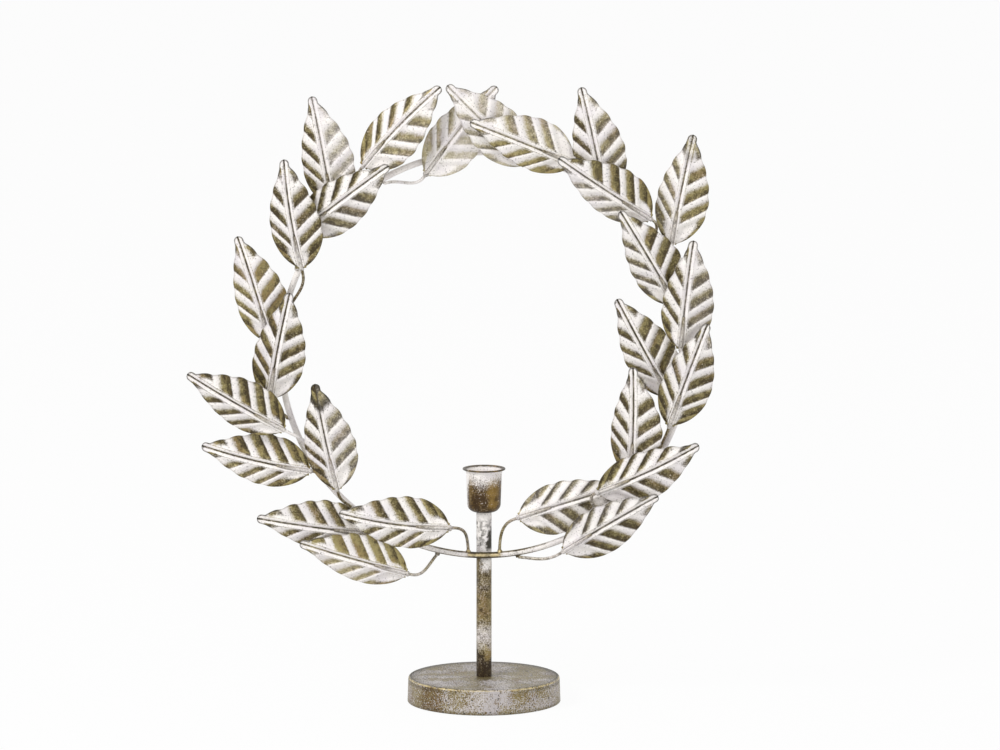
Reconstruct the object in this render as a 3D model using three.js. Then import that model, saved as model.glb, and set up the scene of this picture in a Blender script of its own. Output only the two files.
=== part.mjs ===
import * as THREE from 'three';

// Taper candle holder with a laurel wreath: a weighted round foot, a tube stem with a candle cup,
// and a rod ring brazed to the front of the stem that carries two branches of stamped leaves.
// Millimetres, +Z up, the viewer stands on the -Y side, the origin is the middle of the foot's underside.

// Foot
const FOOT_DIAMETER = 111;
const FOOT_HEIGHT = 18.7;
const FOOT_DRAFT = 0.6;
const FOOT_EDGE_RADIUS = 1.5;
const SHELL_WALL = 1.2;
const SHELL_RIM_HEIGHT = 0.5;
const PAD_THICKNESS = 1.5;
const STEM_SOCKET_DEPTH = 10;

// Stem and candle cup
const STEM_DIAMETER = 11;
const STEM_WALL = 1.2;
const CUP_SEAT_HEIGHT = 139.3;
const CUP_HEIGHT = 32;
const CUP_BORE = 22.6;
const CUP_WALL = 1.5;
const CUP_FLOOR = 1.6;
const CUP_CORNER_RADIUS = 6;
const CUP_TAPER = 0.7;
const CUP_FLARE_HEIGHT = 5;
const LIP_DIAMETER = 31;
const LIP_THICKNESS = 1.4;

// Wreath ring
const RING_RADIUS = 146;
const ROD_DIAMETER = 4.5;
const CROSSING_HEIGHT = 108.8;

// Stamped leaf
const LEAF_LENGTH = 80;
const LEAF_WIDTH = 37;
const LEAF_SKEW = 0.125;
const LEAF_SHEET = 0.8;
const LEAF_ARCH = 2.5;
const LEAF_DROOP = 1;
const LEAF_TAB_WIDTH = 7;
const LEAF_TIP_RADIUS = 3.4;
const VEIN_PAIRS = 5;
const VEIN_SLANT = 49;
const VEIN_RELIEF = 1.6;
const VEIN_SCALLOP = 0.4;
const RIB_WIDTH = 4.5;
const RIB_RISE = 1.3;
const GROOVE_DEPTH = 1.6;

// Leaf stalk
const STALK_DIAMETER = 2.2;
const STALK_TUCK = 24;
const STALK_LEAD = 2.5;

// Gap left for the brazing between two pieces
const SEAT_GAP = 0.3;

// Unit in which the rows below give how far a blade's base lies outside and in front of the ring
const PLACE_STEP = 1;

// Leaf outline: its width follows s^BASE_FULLNESS * (1 - s)^TIP_FULLNESS along the length
const BASE_FULLNESS = 0.65;
const TIP_FULLNESS = 1.07;

// Shares of the leaf's length: where the first and last veins reach the edge of the wide half, how much
// further they run on the narrow half, where the plain row before them lies, where the midrib begins to
// sink, and the least step between two rows at the midrib
const FIRST_VEIN = 0.265;
const LAST_VEIN = 0.865;
const VEIN_LEAD = 0.05;
const SHOULDER = 0.1;
const RIB_FADE_START = 0.6;
const ROW_STEP = 0.012;

// Shares of the midrib's rise lost at the tip, of a row's width that the midrib may take, of the veins'
// relief beside the midrib and at the edge, and of the tip's radius that the last row stops short
const RIB_FADE = 0.7;
const RIB_SHARE = 0.65;
const RELIEF_AT_RIB = 0.3;
const RELIEF_AT_EDGE = 0.7;
const TIP_FACET = 0.15;

// Share of a stalk's span over which it keeps the direction of each of its ends
const STALK_SWEEP = 0.4;

// Facets
const FOOT_SEGMENTS = 40;
const CUP_SEGMENTS = 24;
const STEM_SEGMENTS = 20;
const RING_SEGMENTS = 64;
const ROD_SIDES = 6;
const STALK_SIDES = 5;
const STALK_STEPS = 8;
const SWEEP_POINTS = 6;
const TUCK_POINTS = 3;
const ARC_STEPS = 2;

// Leaves of each branch, from the stem upwards. Angles are degrees.
// foot: where on the ring the stalk is brazed, counted up from the stem
// side: the side of the rod that it meets: 0 front, 90 outside, -90 inside the ring
// lean: 0 butts square against the rod, 90 lies along it
// at, out, lift: place of the blade's base: ring angle, steps outside the ring and steps in front of it
// splay: how far the blade turns outwards from the ring's tangent
// pitch: how far the tip comes forward; roll: turn about the midrib; curve: sideways bend of the midrib
const LEFT_BRANCH = [
  { foot: 4.5, side: -90, lean: 10, at: 11.5, out: -20, lift: 14, splay: 3, pitch: 5, roll: 1.5, curve: -14 },
  { foot: 26, side: 0, lean: 70, at: 33.2, out: 8, lift: 7, splay: 24.5, pitch: 4, roll: -10, curve: 0.5 },
  { foot: 13, side: 90, lean: 28, at: 19.5, out: 20.5, lift: 11, splay: 3.5, pitch: 1, roll: -13.5, curve: 1.5 },
  { foot: 41, side: 0, lean: 70, at: 47.7, out: -3.5, lift: 9, splay: -31, pitch: 8, roll: -9.5, curve: -2 },
  { foot: 50, side: 0, lean: 75, at: 56.3, out: 4.5, lift: 5, splay: 43.5, pitch: -3, roll: -1.5, curve: -8.5 },
  { foot: 58, side: -60, lean: 60, at: 70.1, out: 6.5, lift: 14, splay: 39.5, pitch: 3, roll: -13, curve: -0.5 },
  { foot: 72, side: 45, lean: 70, at: 78.7, out: 11, lift: 6, splay: -22.5, pitch: 8, roll: 2.5, curve: -5.5 },
  { foot: 86, side: 45, lean: 70, at: 93.9, out: 7.5, lift: 6, splay: 20.5, pitch: 4, roll: -9.5, curve: 7 },
  { foot: 104, side: -45, lean: 70, at: 116.2, out: -1, lift: 9, splay: 35, pitch: 6, roll: -11.5, curve: -7.5 },
  { foot: 115, side: 45, lean: 70, at: 124.5, out: 12.5, lift: 5, splay: -18, pitch: 8, roll: 7.5, curve: -6.5 },
  { foot: 127, side: 90, lean: 70, at: 134.9, out: 6.5, lift: 4.5, splay: 55.5, pitch: -1, roll: -5, curve: 3.5 },
  { foot: 140, side: 45, lean: 70, at: 147.9, out: 15.5, lift: 8, splay: 14, pitch: 6, roll: -14.5, curve: -8.5 },
  { foot: 150, side: -90, lean: 80, at: 162.6, out: -8.5, lift: 4, splay: 33.5, pitch: 0, roll: 0, curve: -9 },
];
const RIGHT_BRANCH = [
  { foot: 4.5, side: -90, lean: 5, at: 12, out: -25.5, lift: 3, splay: -5, pitch: 0, roll: 0, curve: -3.5 },
  { foot: 9.5, side: 90, lean: 75, at: 22.2, out: 6, lift: 10, splay: -9.5, pitch: 8, roll: 15, curve: -9.5 },
  { foot: 36, side: 0, lean: 0, at: 40, out: -18.5, lift: 13, splay: 14.5, pitch: 2, roll: 8.5, curve: 7 },
  { foot: 45, side: 0, lean: 70, at: 50.6, out: -9.5, lift: 6, splay: -38.5, pitch: 6, roll: -12, curve: 9 },
  { foot: 62, side: -45, lean: 75, at: 69.5, out: -4, lift: 8, splay: -1, pitch: 8, roll: 9, curve: -5.5 },
  { foot: 71, side: -90, lean: 70, at: 77.5, out: -9.5, lift: 2, splay: -41, pitch: 1, roll: -1.5, curve: -1.5 },
  { foot: 85, side: 0, lean: 70, at: 92.4, out: -5, lift: 10, splay: 8.5, pitch: 7, roll: 4.5, curve: -6 },
  { foot: 97, side: -45, lean: 70, at: 105.5, out: -4, lift: 9, splay: -15, pitch: 9, roll: 2.5, curve: 2 },
  { foot: 114, side: 45, lean: 70, at: 121.1, out: 10.5, lift: 5, splay: 42, pitch: 2, roll: -4.5, curve: -3 },
  { foot: 124, side: 0, lean: 20, at: 130.1, out: 9, lift: 11, splay: -16, pitch: 8, roll: -9.5, curve: -1 },
  { foot: 135, side: 0, lean: 70, at: 143.3, out: -2, lift: 12, splay: 41, pitch: 0, roll: -2.5, curve: 4 },
  { foot: 149, side: 30, lean: 70, at: 155.4, out: 6.5, lift: 9, splay: -2, pitch: 6, roll: 5, curve: 2.5 },
  { foot: 160, side: 0, lean: 70, at: 167.8, out: -4.5, lift: 7, splay: 33, pitch: 4, roll: 9.5, curve: -3.5 },
];

// Finishes
const WASHED_BRONZE = { color: 0xcdc6b6, roughness: 0.6, metalness: 0.4 };
const WASHED_ROD = { color: 0xd9d5cc, roughness: 0.6, metalness: 0.3 };
const BARE_WIRE = { color: 0x8c7a52, roughness: 0.5, metalness: 0.7 };
const DARK_BRONZE = { color: 0x7a6849, roughness: 0.55, metalness: 0.6 };
const PATINA = { color: 0x9c927e, roughness: 0.65, metalness: 0.4 };
const RAW_IRON = { color: 0x54565a, roughness: 0.8, metalness: 0.6 };
const FELT = { color: 0x2d2a28, roughness: 1, metalness: 0 };

const FRONT = new THREE.Vector3(0, -1, 0);
const STEM_RADIUS = STEM_DIAMETER / 2;
const ROD_RADIUS = ROD_DIAMETER / 2;
const STALK_RADIUS = STALK_DIAMETER / 2;
const RIB_HALF = RIB_WIDTH / 2;

function piece(name, geometry, finish) {
  const mesh = new THREE.Mesh(geometry, new THREE.MeshStandardMaterial(finish));
  mesh.name = name;
  return mesh;
}

// Turns a profile of radius and height about the vertical axis. It runs up the outside, so faces point out.
function revolve(profile, segments) {
  const geometry = new THREE.LatheGeometry(profile.getPoints(ARC_STEPS), segments);
  geometry.rotateX(Math.PI / 2);
  return geometry;
}

function polyline(points) {
  return new THREE.Path(points.map(([radius, height]) => new THREE.Vector2(radius, height)));
}

// Foot

const FOOT_RADIUS = FOOT_DIAMETER / 2;
const STEM_HOLE_RADIUS = STEM_RADIUS + SEAT_GAP;
const WEIGHT_TOP = FOOT_HEIGHT - SHELL_WALL - SEAT_GAP;
const STEM_BOTTOM = WEIGHT_TOP - STEM_SOCKET_DEPTH + SEAT_GAP;

// Outer radius of the shell at a height: the side leans in by the draft
function shellRadius(height) {
  return FOOT_RADIUS - (FOOT_DRAFT * height) / FOOT_HEIGHT;
}

function footShell() {
  const shoulder = FOOT_HEIGHT - FOOT_EDGE_RADIUS;
  const ceiling = FOOT_HEIGHT - SHELL_WALL;
  const topRadius = shellRadius(shoulder);
  const profile = new THREE.Path();
  profile.moveTo(shellRadius(SHELL_RIM_HEIGHT), SHELL_RIM_HEIGHT);
  profile.lineTo(topRadius, shoulder);
  profile.absarc(topRadius - FOOT_EDGE_RADIUS, shoulder, FOOT_EDGE_RADIUS, 0, Math.PI / 2);
  profile.lineTo(STEM_HOLE_RADIUS, FOOT_HEIGHT);
  profile.lineTo(STEM_HOLE_RADIUS, ceiling);
  profile.lineTo(shellRadius(ceiling) - SHELL_WALL - SEAT_GAP, ceiling);
  profile.lineTo(shellRadius(SHELL_RIM_HEIGHT) - SHELL_WALL, SHELL_RIM_HEIGHT);
  profile.closePath();
  return piece('base_shell', revolve(profile, FOOT_SEGMENTS), PATINA);
}

function footWeight() {
  const bottom = PAD_THICKNESS + SEAT_GAP;
  const inset = SHELL_WALL + 2 * SEAT_GAP;
  const socketFloor = WEIGHT_TOP - STEM_SOCKET_DEPTH;
  const profile = polyline([
    [0, bottom],
    [shellRadius(bottom) - inset, bottom],
    [shellRadius(WEIGHT_TOP) - inset, WEIGHT_TOP],
    [STEM_HOLE_RADIUS, WEIGHT_TOP],
    [STEM_HOLE_RADIUS, socketFloor],
    [0, socketFloor],
  ]);
  return piece('base_weight', revolve(profile, FOOT_SEGMENTS), RAW_IRON);
}

function footPad() {
  const radius = shellRadius(0) - SHELL_WALL - 2 * SEAT_GAP;
  const profile = polyline([[0, 0], [radius, 0], [radius, PAD_THICKNESS], [0, PAD_THICKNESS]]);
  return piece('base_pad', revolve(profile, FOOT_SEGMENTS), FELT);
}

// Stem and candle cup

function stemTube() {
  const bore = STEM_RADIUS - STEM_WALL;
  const top = CUP_SEAT_HEIGHT - SEAT_GAP;
  const profile = polyline([
    [STEM_RADIUS, STEM_BOTTOM],
    [STEM_RADIUS, top],
    [bore, top],
    [bore, STEM_BOTTOM],
    [STEM_RADIUS, STEM_BOTTOM],
  ]);
  return piece('stem_tube', revolve(profile, STEM_SEGMENTS), DARK_BRONZE);
}

function candleCup() {
  const bore = CUP_BORE / 2;
  const body = bore + CUP_WALL;
  const lip = LIP_DIAMETER / 2;
  const innerCorner = CUP_CORNER_RADIUS - CUP_WALL;
  const neck = CUP_HEIGHT - CUP_FLARE_HEIGHT;
  const cornerCentre = body - CUP_TAPER - CUP_CORNER_RADIUS;
  const profile = new THREE.Path();
  profile.moveTo(0, 0);
  profile.lineTo(cornerCentre, 0);
  profile.absarc(cornerCentre, CUP_CORNER_RADIUS, CUP_CORNER_RADIUS, -Math.PI / 2, 0);
  profile.lineTo(body, neck);
  profile.quadraticCurveTo(body, CUP_HEIGHT - LIP_THICKNESS, lip, CUP_HEIGHT - LIP_THICKNESS);
  profile.lineTo(lip, CUP_HEIGHT);
  profile.quadraticCurveTo(bore, CUP_HEIGHT, bore, neck);
  profile.lineTo(bore - CUP_TAPER, CUP_FLOOR + innerCorner);
  profile.absarc(cornerCentre, CUP_FLOOR + innerCorner, innerCorner, 0, -Math.PI / 2, true);
  profile.lineTo(0, CUP_FLOOR);
  const cup = piece('candle_cup', revolve(profile, CUP_SEGMENTS), PATINA);
  cup.position.z = CUP_SEAT_HEIGHT;
  return cup;
}

// Wreath ring: its lowest place crosses the front of the stem

function wreathRing() {
  const geometry = new THREE.TorusGeometry(RING_RADIUS, ROD_RADIUS, ROD_SIDES, RING_SEGMENTS);
  geometry.rotateX(Math.PI / 2);
  return piece('wreath_ring', geometry, WASHED_ROD);
}

// Axes of the ring at an angle counted up one side from the stem
function ringAxes(hand, degrees) {
  const angle = THREE.MathUtils.degToRad(degrees);
  return {
    tangent: new THREE.Vector3(hand * Math.cos(angle), 0, Math.sin(angle)),
    outward: new THREE.Vector3(hand * Math.sin(angle), 0, -Math.cos(angle)),
  };
}

// Stamped leaf in its own axes: u along the midrib from the base, v across, w out of the front face

// Width of one half of the blade at a distance along it, with a square tab at the base and a round tip.
// Seen from the front with the tip up, the right half, where v is negative, is the wider one.
function halfWidth(u, side) {
  const belly = BASE_FULLNESS / (BASE_FULLNESS + TIP_FULLNESS);
  const fullest = belly ** BASE_FULLNESS * (1 - belly) ** TIP_FULLNESS;
  const s = THREE.MathUtils.clamp(u / LEAF_LENGTH, 0, 1);
  const widest = (LEAF_WIDTH / 2) * (1 - side * LEAF_SKEW);
  const outline = (widest * s ** BASE_FULLNESS * (1 - s) ** TIP_FULLNESS) / fullest;
  const fromTip = LEAF_LENGTH - u;
  if (fromTip < LEAF_TIP_RADIUS) {
    return Math.max(outline, Math.sqrt(LEAF_TIP_RADIUS ** 2 - (LEAF_TIP_RADIUS - fromTip) ** 2));
  }
  return Math.max(outline, u < LEAF_LENGTH / 2 ? LEAF_TAB_WIDTH / 2 : LEAF_TIP_RADIUS);
}

// Share of the midrib's full relief at a distance along the blade: it sinks towards the tip
function ribRelief(u) {
  return 1 - RIB_FADE * THREE.MathUtils.smoothstep(u / LEAF_LENGTH, RIB_FADE_START, 1);
}

// Bends a flat blade point by the leaf's own arch along its length, its droop and its sideways curve
function bend(leaf, u, v, w) {
  const s = u / LEAF_LENGTH;
  const swell = s * (1 - s);
  const sideways = -THREE.MathUtils.degToRad(leaf.curve) * (LEAF_LENGTH / 2) * swell;
  const droop = LEAF_DROOP * (v / (LEAF_WIDTH / 2)) ** 2;
  return new THREE.Vector3(u, v + sideways, w + 4 * LEAF_ARCH * swell - droop);
}

// Places along the edge where the rows of the blade end. Troughs, which bulge out, and ridges alternate.
function bladeRows() {
  const veins = 2 * VEIN_PAIRS - 1;
  const rows = [{ edge: 0, height: 0 }, { edge: SHOULDER, height: 0 }];
  for (let i = 0; i < veins; i += 1) {
    const edge = THREE.MathUtils.lerp(FIRST_VEIN, LAST_VEIN, i / (veins - 1));
    rows.push({ edge, height: i % 2 ? 1 : -1 });
  }
  rows.push({ edge: (LAST_VEIN + 1) / 2, height: 0 }, { edge: 1, height: 0 });
  return rows;
}

// Distance along the blade at which a row meets the edge of one half
function rowEnd(row, side) {
  const fade = Math.min(1, row.edge / FIRST_VEIN, (1 - row.edge) / (1 - LAST_VEIN));
  const share = side > 0 ? row.edge + VEIN_LEAD * fade : row.edge;
  return Math.min(share * LEAF_LENGTH, LEAF_LENGTH - LEAF_TIP_RADIUS * TIP_FACET);
}

// One row of points across the blade: it slants forward from the midrib to both edges, as the veins do
function bladeRow(leaf, row, index) {
  const wideU = rowEnd(row, -1);
  const slant = 1 / Math.tan(THREE.MathUtils.degToRad(VEIN_SLANT));
  const meanReach = (halfWidth(wideU, -1) + halfWidth(wideU, 1)) / 2;
  const leastU = index * ROW_STEP * LEAF_LENGTH;
  const rootU = row.edge === 1 ? LEAF_LENGTH : Math.max(wideU - slant * meanReach, leastU);
  const half = (side) => {
    const edgeU = rowEnd(row, side);
    const reach = halfWidth(edgeU, side) - row.height * VEIN_SCALLOP;
    const foot = Math.min(RIB_HALF / reach, RIB_SHARE);
    const point = (share, relief, rise) => {
      const w = rise * ribRelief(rootU) + (relief * row.height * VEIN_RELIEF) / 2;
      return bend(leaf, THREE.MathUtils.lerp(rootU, edgeU, share), side * share * reach, w);
    };
    return [
      point(0, 0, RIB_RISE - GROOVE_DEPTH),
      point(foot, RELIEF_AT_RIB, RIB_RISE),
      point((1 + foot) / 2, 1, 0),
      point(1, RELIEF_AT_EDGE, 0),
    ];
  };
  return [...half(-1).slice(1).reverse(), ...half(1)];
}

// Closed sheet between a grid of points and the same grid pushed back by the sheet's thickness
function closedSheet(grid, thickness) {
  const rows = grid.length;
  const columns = grid[0].length;
  const front = (i, j) => i * columns + j;
  const back = (i, j) => rows * columns + front(i, j);
  const positions = [];
  for (const shift of [thickness / 2, -thickness / 2]) {
    for (const point of grid.flat()) {
      positions.push(point.x, point.y, point.z + shift);
    }
  }
  const indices = [];
  const quad = (a, b, c, d) => indices.push(a, b, c, a, c, d);
  for (let i = 0; i < rows - 1; i += 1) {
    for (let j = 0; j < columns - 1; j += 1) {
      quad(front(i, j), front(i + 1, j), front(i + 1, j + 1), front(i, j + 1));
      quad(back(i, j), back(i, j + 1), back(i + 1, j + 1), back(i + 1, j));
    }
    quad(front(i, 0), back(i, 0), back(i + 1, 0), front(i + 1, 0));
    quad(front(i + 1, columns - 1), back(i + 1, columns - 1), back(i, columns - 1), front(i, columns - 1));
  }
  for (let j = 0; j < columns - 1; j += 1) {
    quad(front(0, j + 1), back(0, j + 1), back(0, j), front(0, j));
    quad(front(rows - 1, j), back(rows - 1, j), back(rows - 1, j + 1), front(rows - 1, j + 1));
  }
  const geometry = new THREE.BufferGeometry();
  geometry.setAttribute('position', new THREE.Float32BufferAttribute(positions, 3));
  geometry.setIndex(indices);
  geometry.computeVertexNormals();
  return geometry;
}

// Place and turn of a blade in the wreath's frame
function bladeMatrix(hand, leaf) {
  const { tangent, outward } = ringAxes(hand, leaf.at);
  const splay = THREE.MathUtils.degToRad(leaf.splay);
  const along = tangent.clone().multiplyScalar(Math.cos(splay)).addScaledVector(outward, Math.sin(splay));
  const across = new THREE.Vector3().crossVectors(FRONT, along);
  along.applyAxisAngle(across, -THREE.MathUtils.degToRad(leaf.pitch));
  across.applyAxisAngle(along, THREE.MathUtils.degToRad(leaf.roll));
  const face = new THREE.Vector3().crossVectors(along, across);
  const base = outward.clone().multiplyScalar(RING_RADIUS + leaf.out * PLACE_STEP);
  base.addScaledVector(FRONT, leaf.lift * PLACE_STEP);
  return new THREE.Matrix4().makeBasis(along, across, face).setPosition(base);
}

function leafBlade(name, hand, leaf) {
  const grid = bladeRows().map((row, index) => bladeRow(leaf, row, index));
  const blade = piece(name, closedSheet(grid, LEAF_SHEET), WASHED_BRONZE);
  blade.applyMatrix4(bladeMatrix(hand, leaf));
  return blade;
}

// Middle of the stalk where it lies in the midrib's groove
function inGroove(hand, leaf, u) {
  const flank = Math.hypot(RIB_HALF, GROOVE_DEPTH) / RIB_HALF;
  const seat = RIB_RISE - GROOVE_DEPTH + LEAF_SHEET / 2 + (STALK_RADIUS + SEAT_GAP) * flank;
  return bend(leaf, u, 0, seat).applyMatrix4(bladeMatrix(hand, leaf));
}

// Stalk: from its braze on the rod it sweeps to the blade's base and on along the midrib's groove
function leafStalk(name, hand, leaf) {
  const { tangent, outward } = ringAxes(hand, leaf.foot);
  const side = THREE.MathUtils.degToRad(leaf.side);
  const lean = THREE.MathUtils.degToRad(leaf.lean);
  const meets = FRONT.clone().multiplyScalar(Math.cos(side)).addScaledVector(outward, Math.sin(side));
  const leaves = meets.clone().multiplyScalar(Math.cos(lean)).addScaledVector(tangent, Math.sin(lean));
  const stand = ROD_RADIUS + SEAT_GAP + STALK_RADIUS * Math.sin(lean);
  const start = outward.clone().multiplyScalar(RING_RADIUS).addScaledVector(meets, stand);
  const end = inGroove(hand, leaf, -STALK_LEAD);
  const arrives = inGroove(hand, leaf, 0).sub(end).normalize();
  const handle = start.distanceTo(end) * STALK_SWEEP;
  const sweep = new THREE.CubicBezierCurve3(
    start,
    start.clone().addScaledVector(leaves, handle),
    end.clone().addScaledVector(arrives, -handle),
    end,
  );
  const points = sweep.getPoints(SWEEP_POINTS);
  for (let i = 0; i <= TUCK_POINTS; i += 1) {
    points.push(inGroove(hand, leaf, (STALK_TUCK * i) / TUCK_POINTS));
  }
  const path = new THREE.CatmullRomCurve3(points, false, 'centripetal');
  const round = new THREE.EllipseCurve(0, 0, STALK_RADIUS, STALK_RADIUS).getPoints(STALK_SIDES);
  const section = new THREE.Shape(round.slice(1));
  const options = { steps: STALK_STEPS, extrudePath: path, bevelEnabled: false };
  return piece(name, new THREE.ExtrudeGeometry(section, options), BARE_WIRE);
}

function branch(label, hand, leaves) {
  const group = new THREE.Group();
  leaves.forEach((leaf, index) => {
    const number = String(index + 1).padStart(2, '0');
    group.add(leafBlade(`${label}_leaf_${number}`, hand, leaf));
    group.add(leafStalk(`${label}_stalk_${number}`, hand, leaf));
  });
  return group;
}

const wreath = new THREE.Group();
wreath.position.set(0, -(STEM_RADIUS + SEAT_GAP + ROD_RADIUS), CROSSING_HEIGHT + RING_RADIUS);
wreath.add(wreathRing(), branch('left', -1, LEFT_BRANCH), branch('right', 1, RIGHT_BRANCH));

const holder = new THREE.Group();
holder.add(footPad(), footWeight(), footShell(), stemTube(), candleCup(), wreath);

export default holder;
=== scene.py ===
"""Looks of a taper candle holder with a leaf wreath.

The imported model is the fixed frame. Every piece made here stands where its node of that model is,
in metres, with +Z up, the viewer on the -Y side and the origin under the middle of the foot.
"""

import logging
import math
from dataclasses import dataclass, replace
from enum import Enum
from typing import Callable, Optional, Union

import bpy
from mathutils import Matrix, Vector, noise


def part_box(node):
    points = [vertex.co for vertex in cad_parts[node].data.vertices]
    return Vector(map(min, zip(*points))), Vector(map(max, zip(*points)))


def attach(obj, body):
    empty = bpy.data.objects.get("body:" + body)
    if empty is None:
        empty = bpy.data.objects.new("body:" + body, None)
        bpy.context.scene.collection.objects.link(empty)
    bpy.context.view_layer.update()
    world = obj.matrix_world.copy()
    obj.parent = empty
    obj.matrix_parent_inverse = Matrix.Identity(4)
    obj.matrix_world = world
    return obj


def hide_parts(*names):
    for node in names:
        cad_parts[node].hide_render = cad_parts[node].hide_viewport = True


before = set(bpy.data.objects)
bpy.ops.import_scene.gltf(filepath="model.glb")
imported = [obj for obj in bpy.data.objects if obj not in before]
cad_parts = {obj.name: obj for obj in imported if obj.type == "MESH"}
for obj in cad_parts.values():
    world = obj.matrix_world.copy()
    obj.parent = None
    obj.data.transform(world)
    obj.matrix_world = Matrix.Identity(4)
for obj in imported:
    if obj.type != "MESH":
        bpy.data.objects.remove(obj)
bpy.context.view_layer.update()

LOG = logging.getLogger("candle_holder")
MM = 0.001
FRONT = Vector((0, -1, 0))
BODY = "root"
# Angles above which an edge of a wire or rod, or of a turned piece, stays sharp
ROUND_CREASE = math.radians(60)
TURNED_CREASE = math.radians(40)


class Slot(Enum):
    """Names of material slots, one for each kind of piece made here."""

    LEAF = "leaf"
    WIRE = "wire"
    ROD = "rod"
    STEM = "stem"
    CUP = "cup"
    FOOT = "foot"
    FELT = "felt"


class Hand(Enum):
    """The side of the stem that a branch grows on, with its sign along X."""

    LEFT = -1
    RIGHT = 1

    @property
    def word(self) -> str:
        """The side's name in the node names."""
        return self.name.lower()


# Node trees


class Field:
    """A socket's value in a node tree. Arithmetic on it adds Math nodes to the tree."""

    def __init__(self, graph: "Graph", socket: bpy.types.NodeSocket) -> None:
        """Wraps an output socket.

        Args:
            graph: The tree that the socket belongs to.
            socket: The output socket.
        """
        self.graph = graph
        self.socket = socket

    def __add__(self, other: "Operand") -> "Field":
        """Sum."""
        return self.graph.math("ADD", self, other)

    def __sub__(self, other: "Operand") -> "Field":
        """Difference."""
        return self.graph.math("SUBTRACT", self, other)

    def __rsub__(self, other: "Operand") -> "Field":
        """Difference with the field on the right."""
        return self.graph.math("SUBTRACT", other, self)

    def __mul__(self, other: "Operand") -> "Field":
        """Product."""
        return self.graph.math("MULTIPLY", self, other)

    def __truediv__(self, other: "Operand") -> "Field":
        """Quotient."""
        return self.graph.math("DIVIDE", self, other)

    def __pow__(self, other: "Operand") -> "Field":
        """Power."""
        return self.graph.math("POWER", self, other)

    def __neg__(self) -> "Field":
        """The field with its sign turned."""
        return self.graph.math("MULTIPLY", self, -1.0)

    __radd__ = __add__
    __rmul__ = __mul__


Operand = Union[Field, float]
Colour = tuple[float, float, float]
Tint = Union[Field, Colour]
Finish = bpy.types.Material


class Graph:
    """A node tree under construction."""

    # Places of a Mix node's share, first value, second value and result
    MIX_PLACES = {"FLOAT": (0, 2, 3, 0), "RGBA": (0, 6, 7, 2)}

    def __init__(self, tree: bpy.types.NodeTree) -> None:
        """Takes over a tree and empties it.

        Args:
            tree: A shader tree or a geometry tree.
        """
        self.tree = tree
        self.tree.nodes.clear()

    def node(self, kind: str, **settings: object) -> bpy.types.Node:
        """Adds a node.

        Args:
            kind: The node's type name.
            settings: Properties to set on it.

        Returns:
            The new node.
        """
        made = self.tree.nodes.new(kind)
        for key, value in settings.items():
            setattr(made, key, value)
        return made

    def feed(self, target: bpy.types.NodeSocket, value: object) -> None:
        """Links a field to an input socket, or sets the socket to a constant.

        Args:
            target: The input socket.
            value: A field, or a constant of the socket's type.
        """
        if isinstance(value, Field):
            self.tree.links.new(value.socket, target)
        else:
            target.default_value = value

    def call(
        self, kind: str, inputs: dict[str, object], output: int = 0, **settings: object
    ) -> Field:
        """Adds a node, feeds its inputs by name and gives one of its outputs.

        Args:
            kind: The node's type name.
            inputs: Input socket names with fields or constants.
            output: Which output to give.
            settings: Properties to set on the node.

        Returns:
            The chosen output.
        """
        made = self.node(kind, **settings)
        for name, value in inputs.items():
            self.feed(made.inputs[name], value)
        return Field(self, made.outputs[output])

    def row(self, kind: str, *values: object, **settings: object) -> Field:
        """Adds a node and feeds its inputs in their order.

        Args:
            kind: The node's type name.
            values: Fields or constants, from the first input on.
            settings: Properties to set on the node.

        Returns:
            The node's first output.
        """
        made = self.node(kind, **settings)
        for socket, value in zip(made.inputs, values):
            self.feed(socket, value)
        return Field(self, made.outputs[0])

    def math(self, operation: str, *operands: Operand) -> Field:
        """Result of a Math node on up to three fields or numbers."""
        return self.row("ShaderNodeMath", *operands, operation=operation)

    def smoothstep(self, value: Field, low: Operand, high: Operand) -> Field:
        """Rises smoothly from 0 at low to 1 at high."""
        inputs = {"Value": value, "From Min": low, "From Max": high}
        return self.call("ShaderNodeMapRange", inputs, interpolation_type="SMOOTHSTEP")

    def mixed(self, kind: str, *values: object) -> Field:
        """Adds a Mix node.

        Args:
            kind: What it mixes, as in MIX_PLACES.
            values: The share of the second value, the first value and the second value.

        Returns:
            The mixed value.
        """
        made = self.node("ShaderNodeMix", data_type=kind)
        *places, result = self.MIX_PLACES[kind]
        for place, value in zip(places, values):
            self.feed(made.inputs[place], value)
        return Field(self, made.outputs[result])

    def mix(self, share: Operand, first: Operand, second: Operand) -> Field:
        """First number at share 0, second at share 1."""
        return self.mixed("FLOAT", share, first, second)

    def limit(self, value: Field) -> Field:
        """Keeps a value between 0 and 1."""
        return self.call("ShaderNodeClamp", {"Value": value})

    def axes(self, vector: Field) -> tuple[Field, ...]:
        """Splits a vector.

        Args:
            vector: The vector.

        Returns:
            Its X, Y and Z.
        """
        made = self.node("ShaderNodeSeparateXYZ")
        self.feed(made.inputs[0], vector)
        return tuple(Field(self, socket) for socket in made.outputs)


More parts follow.
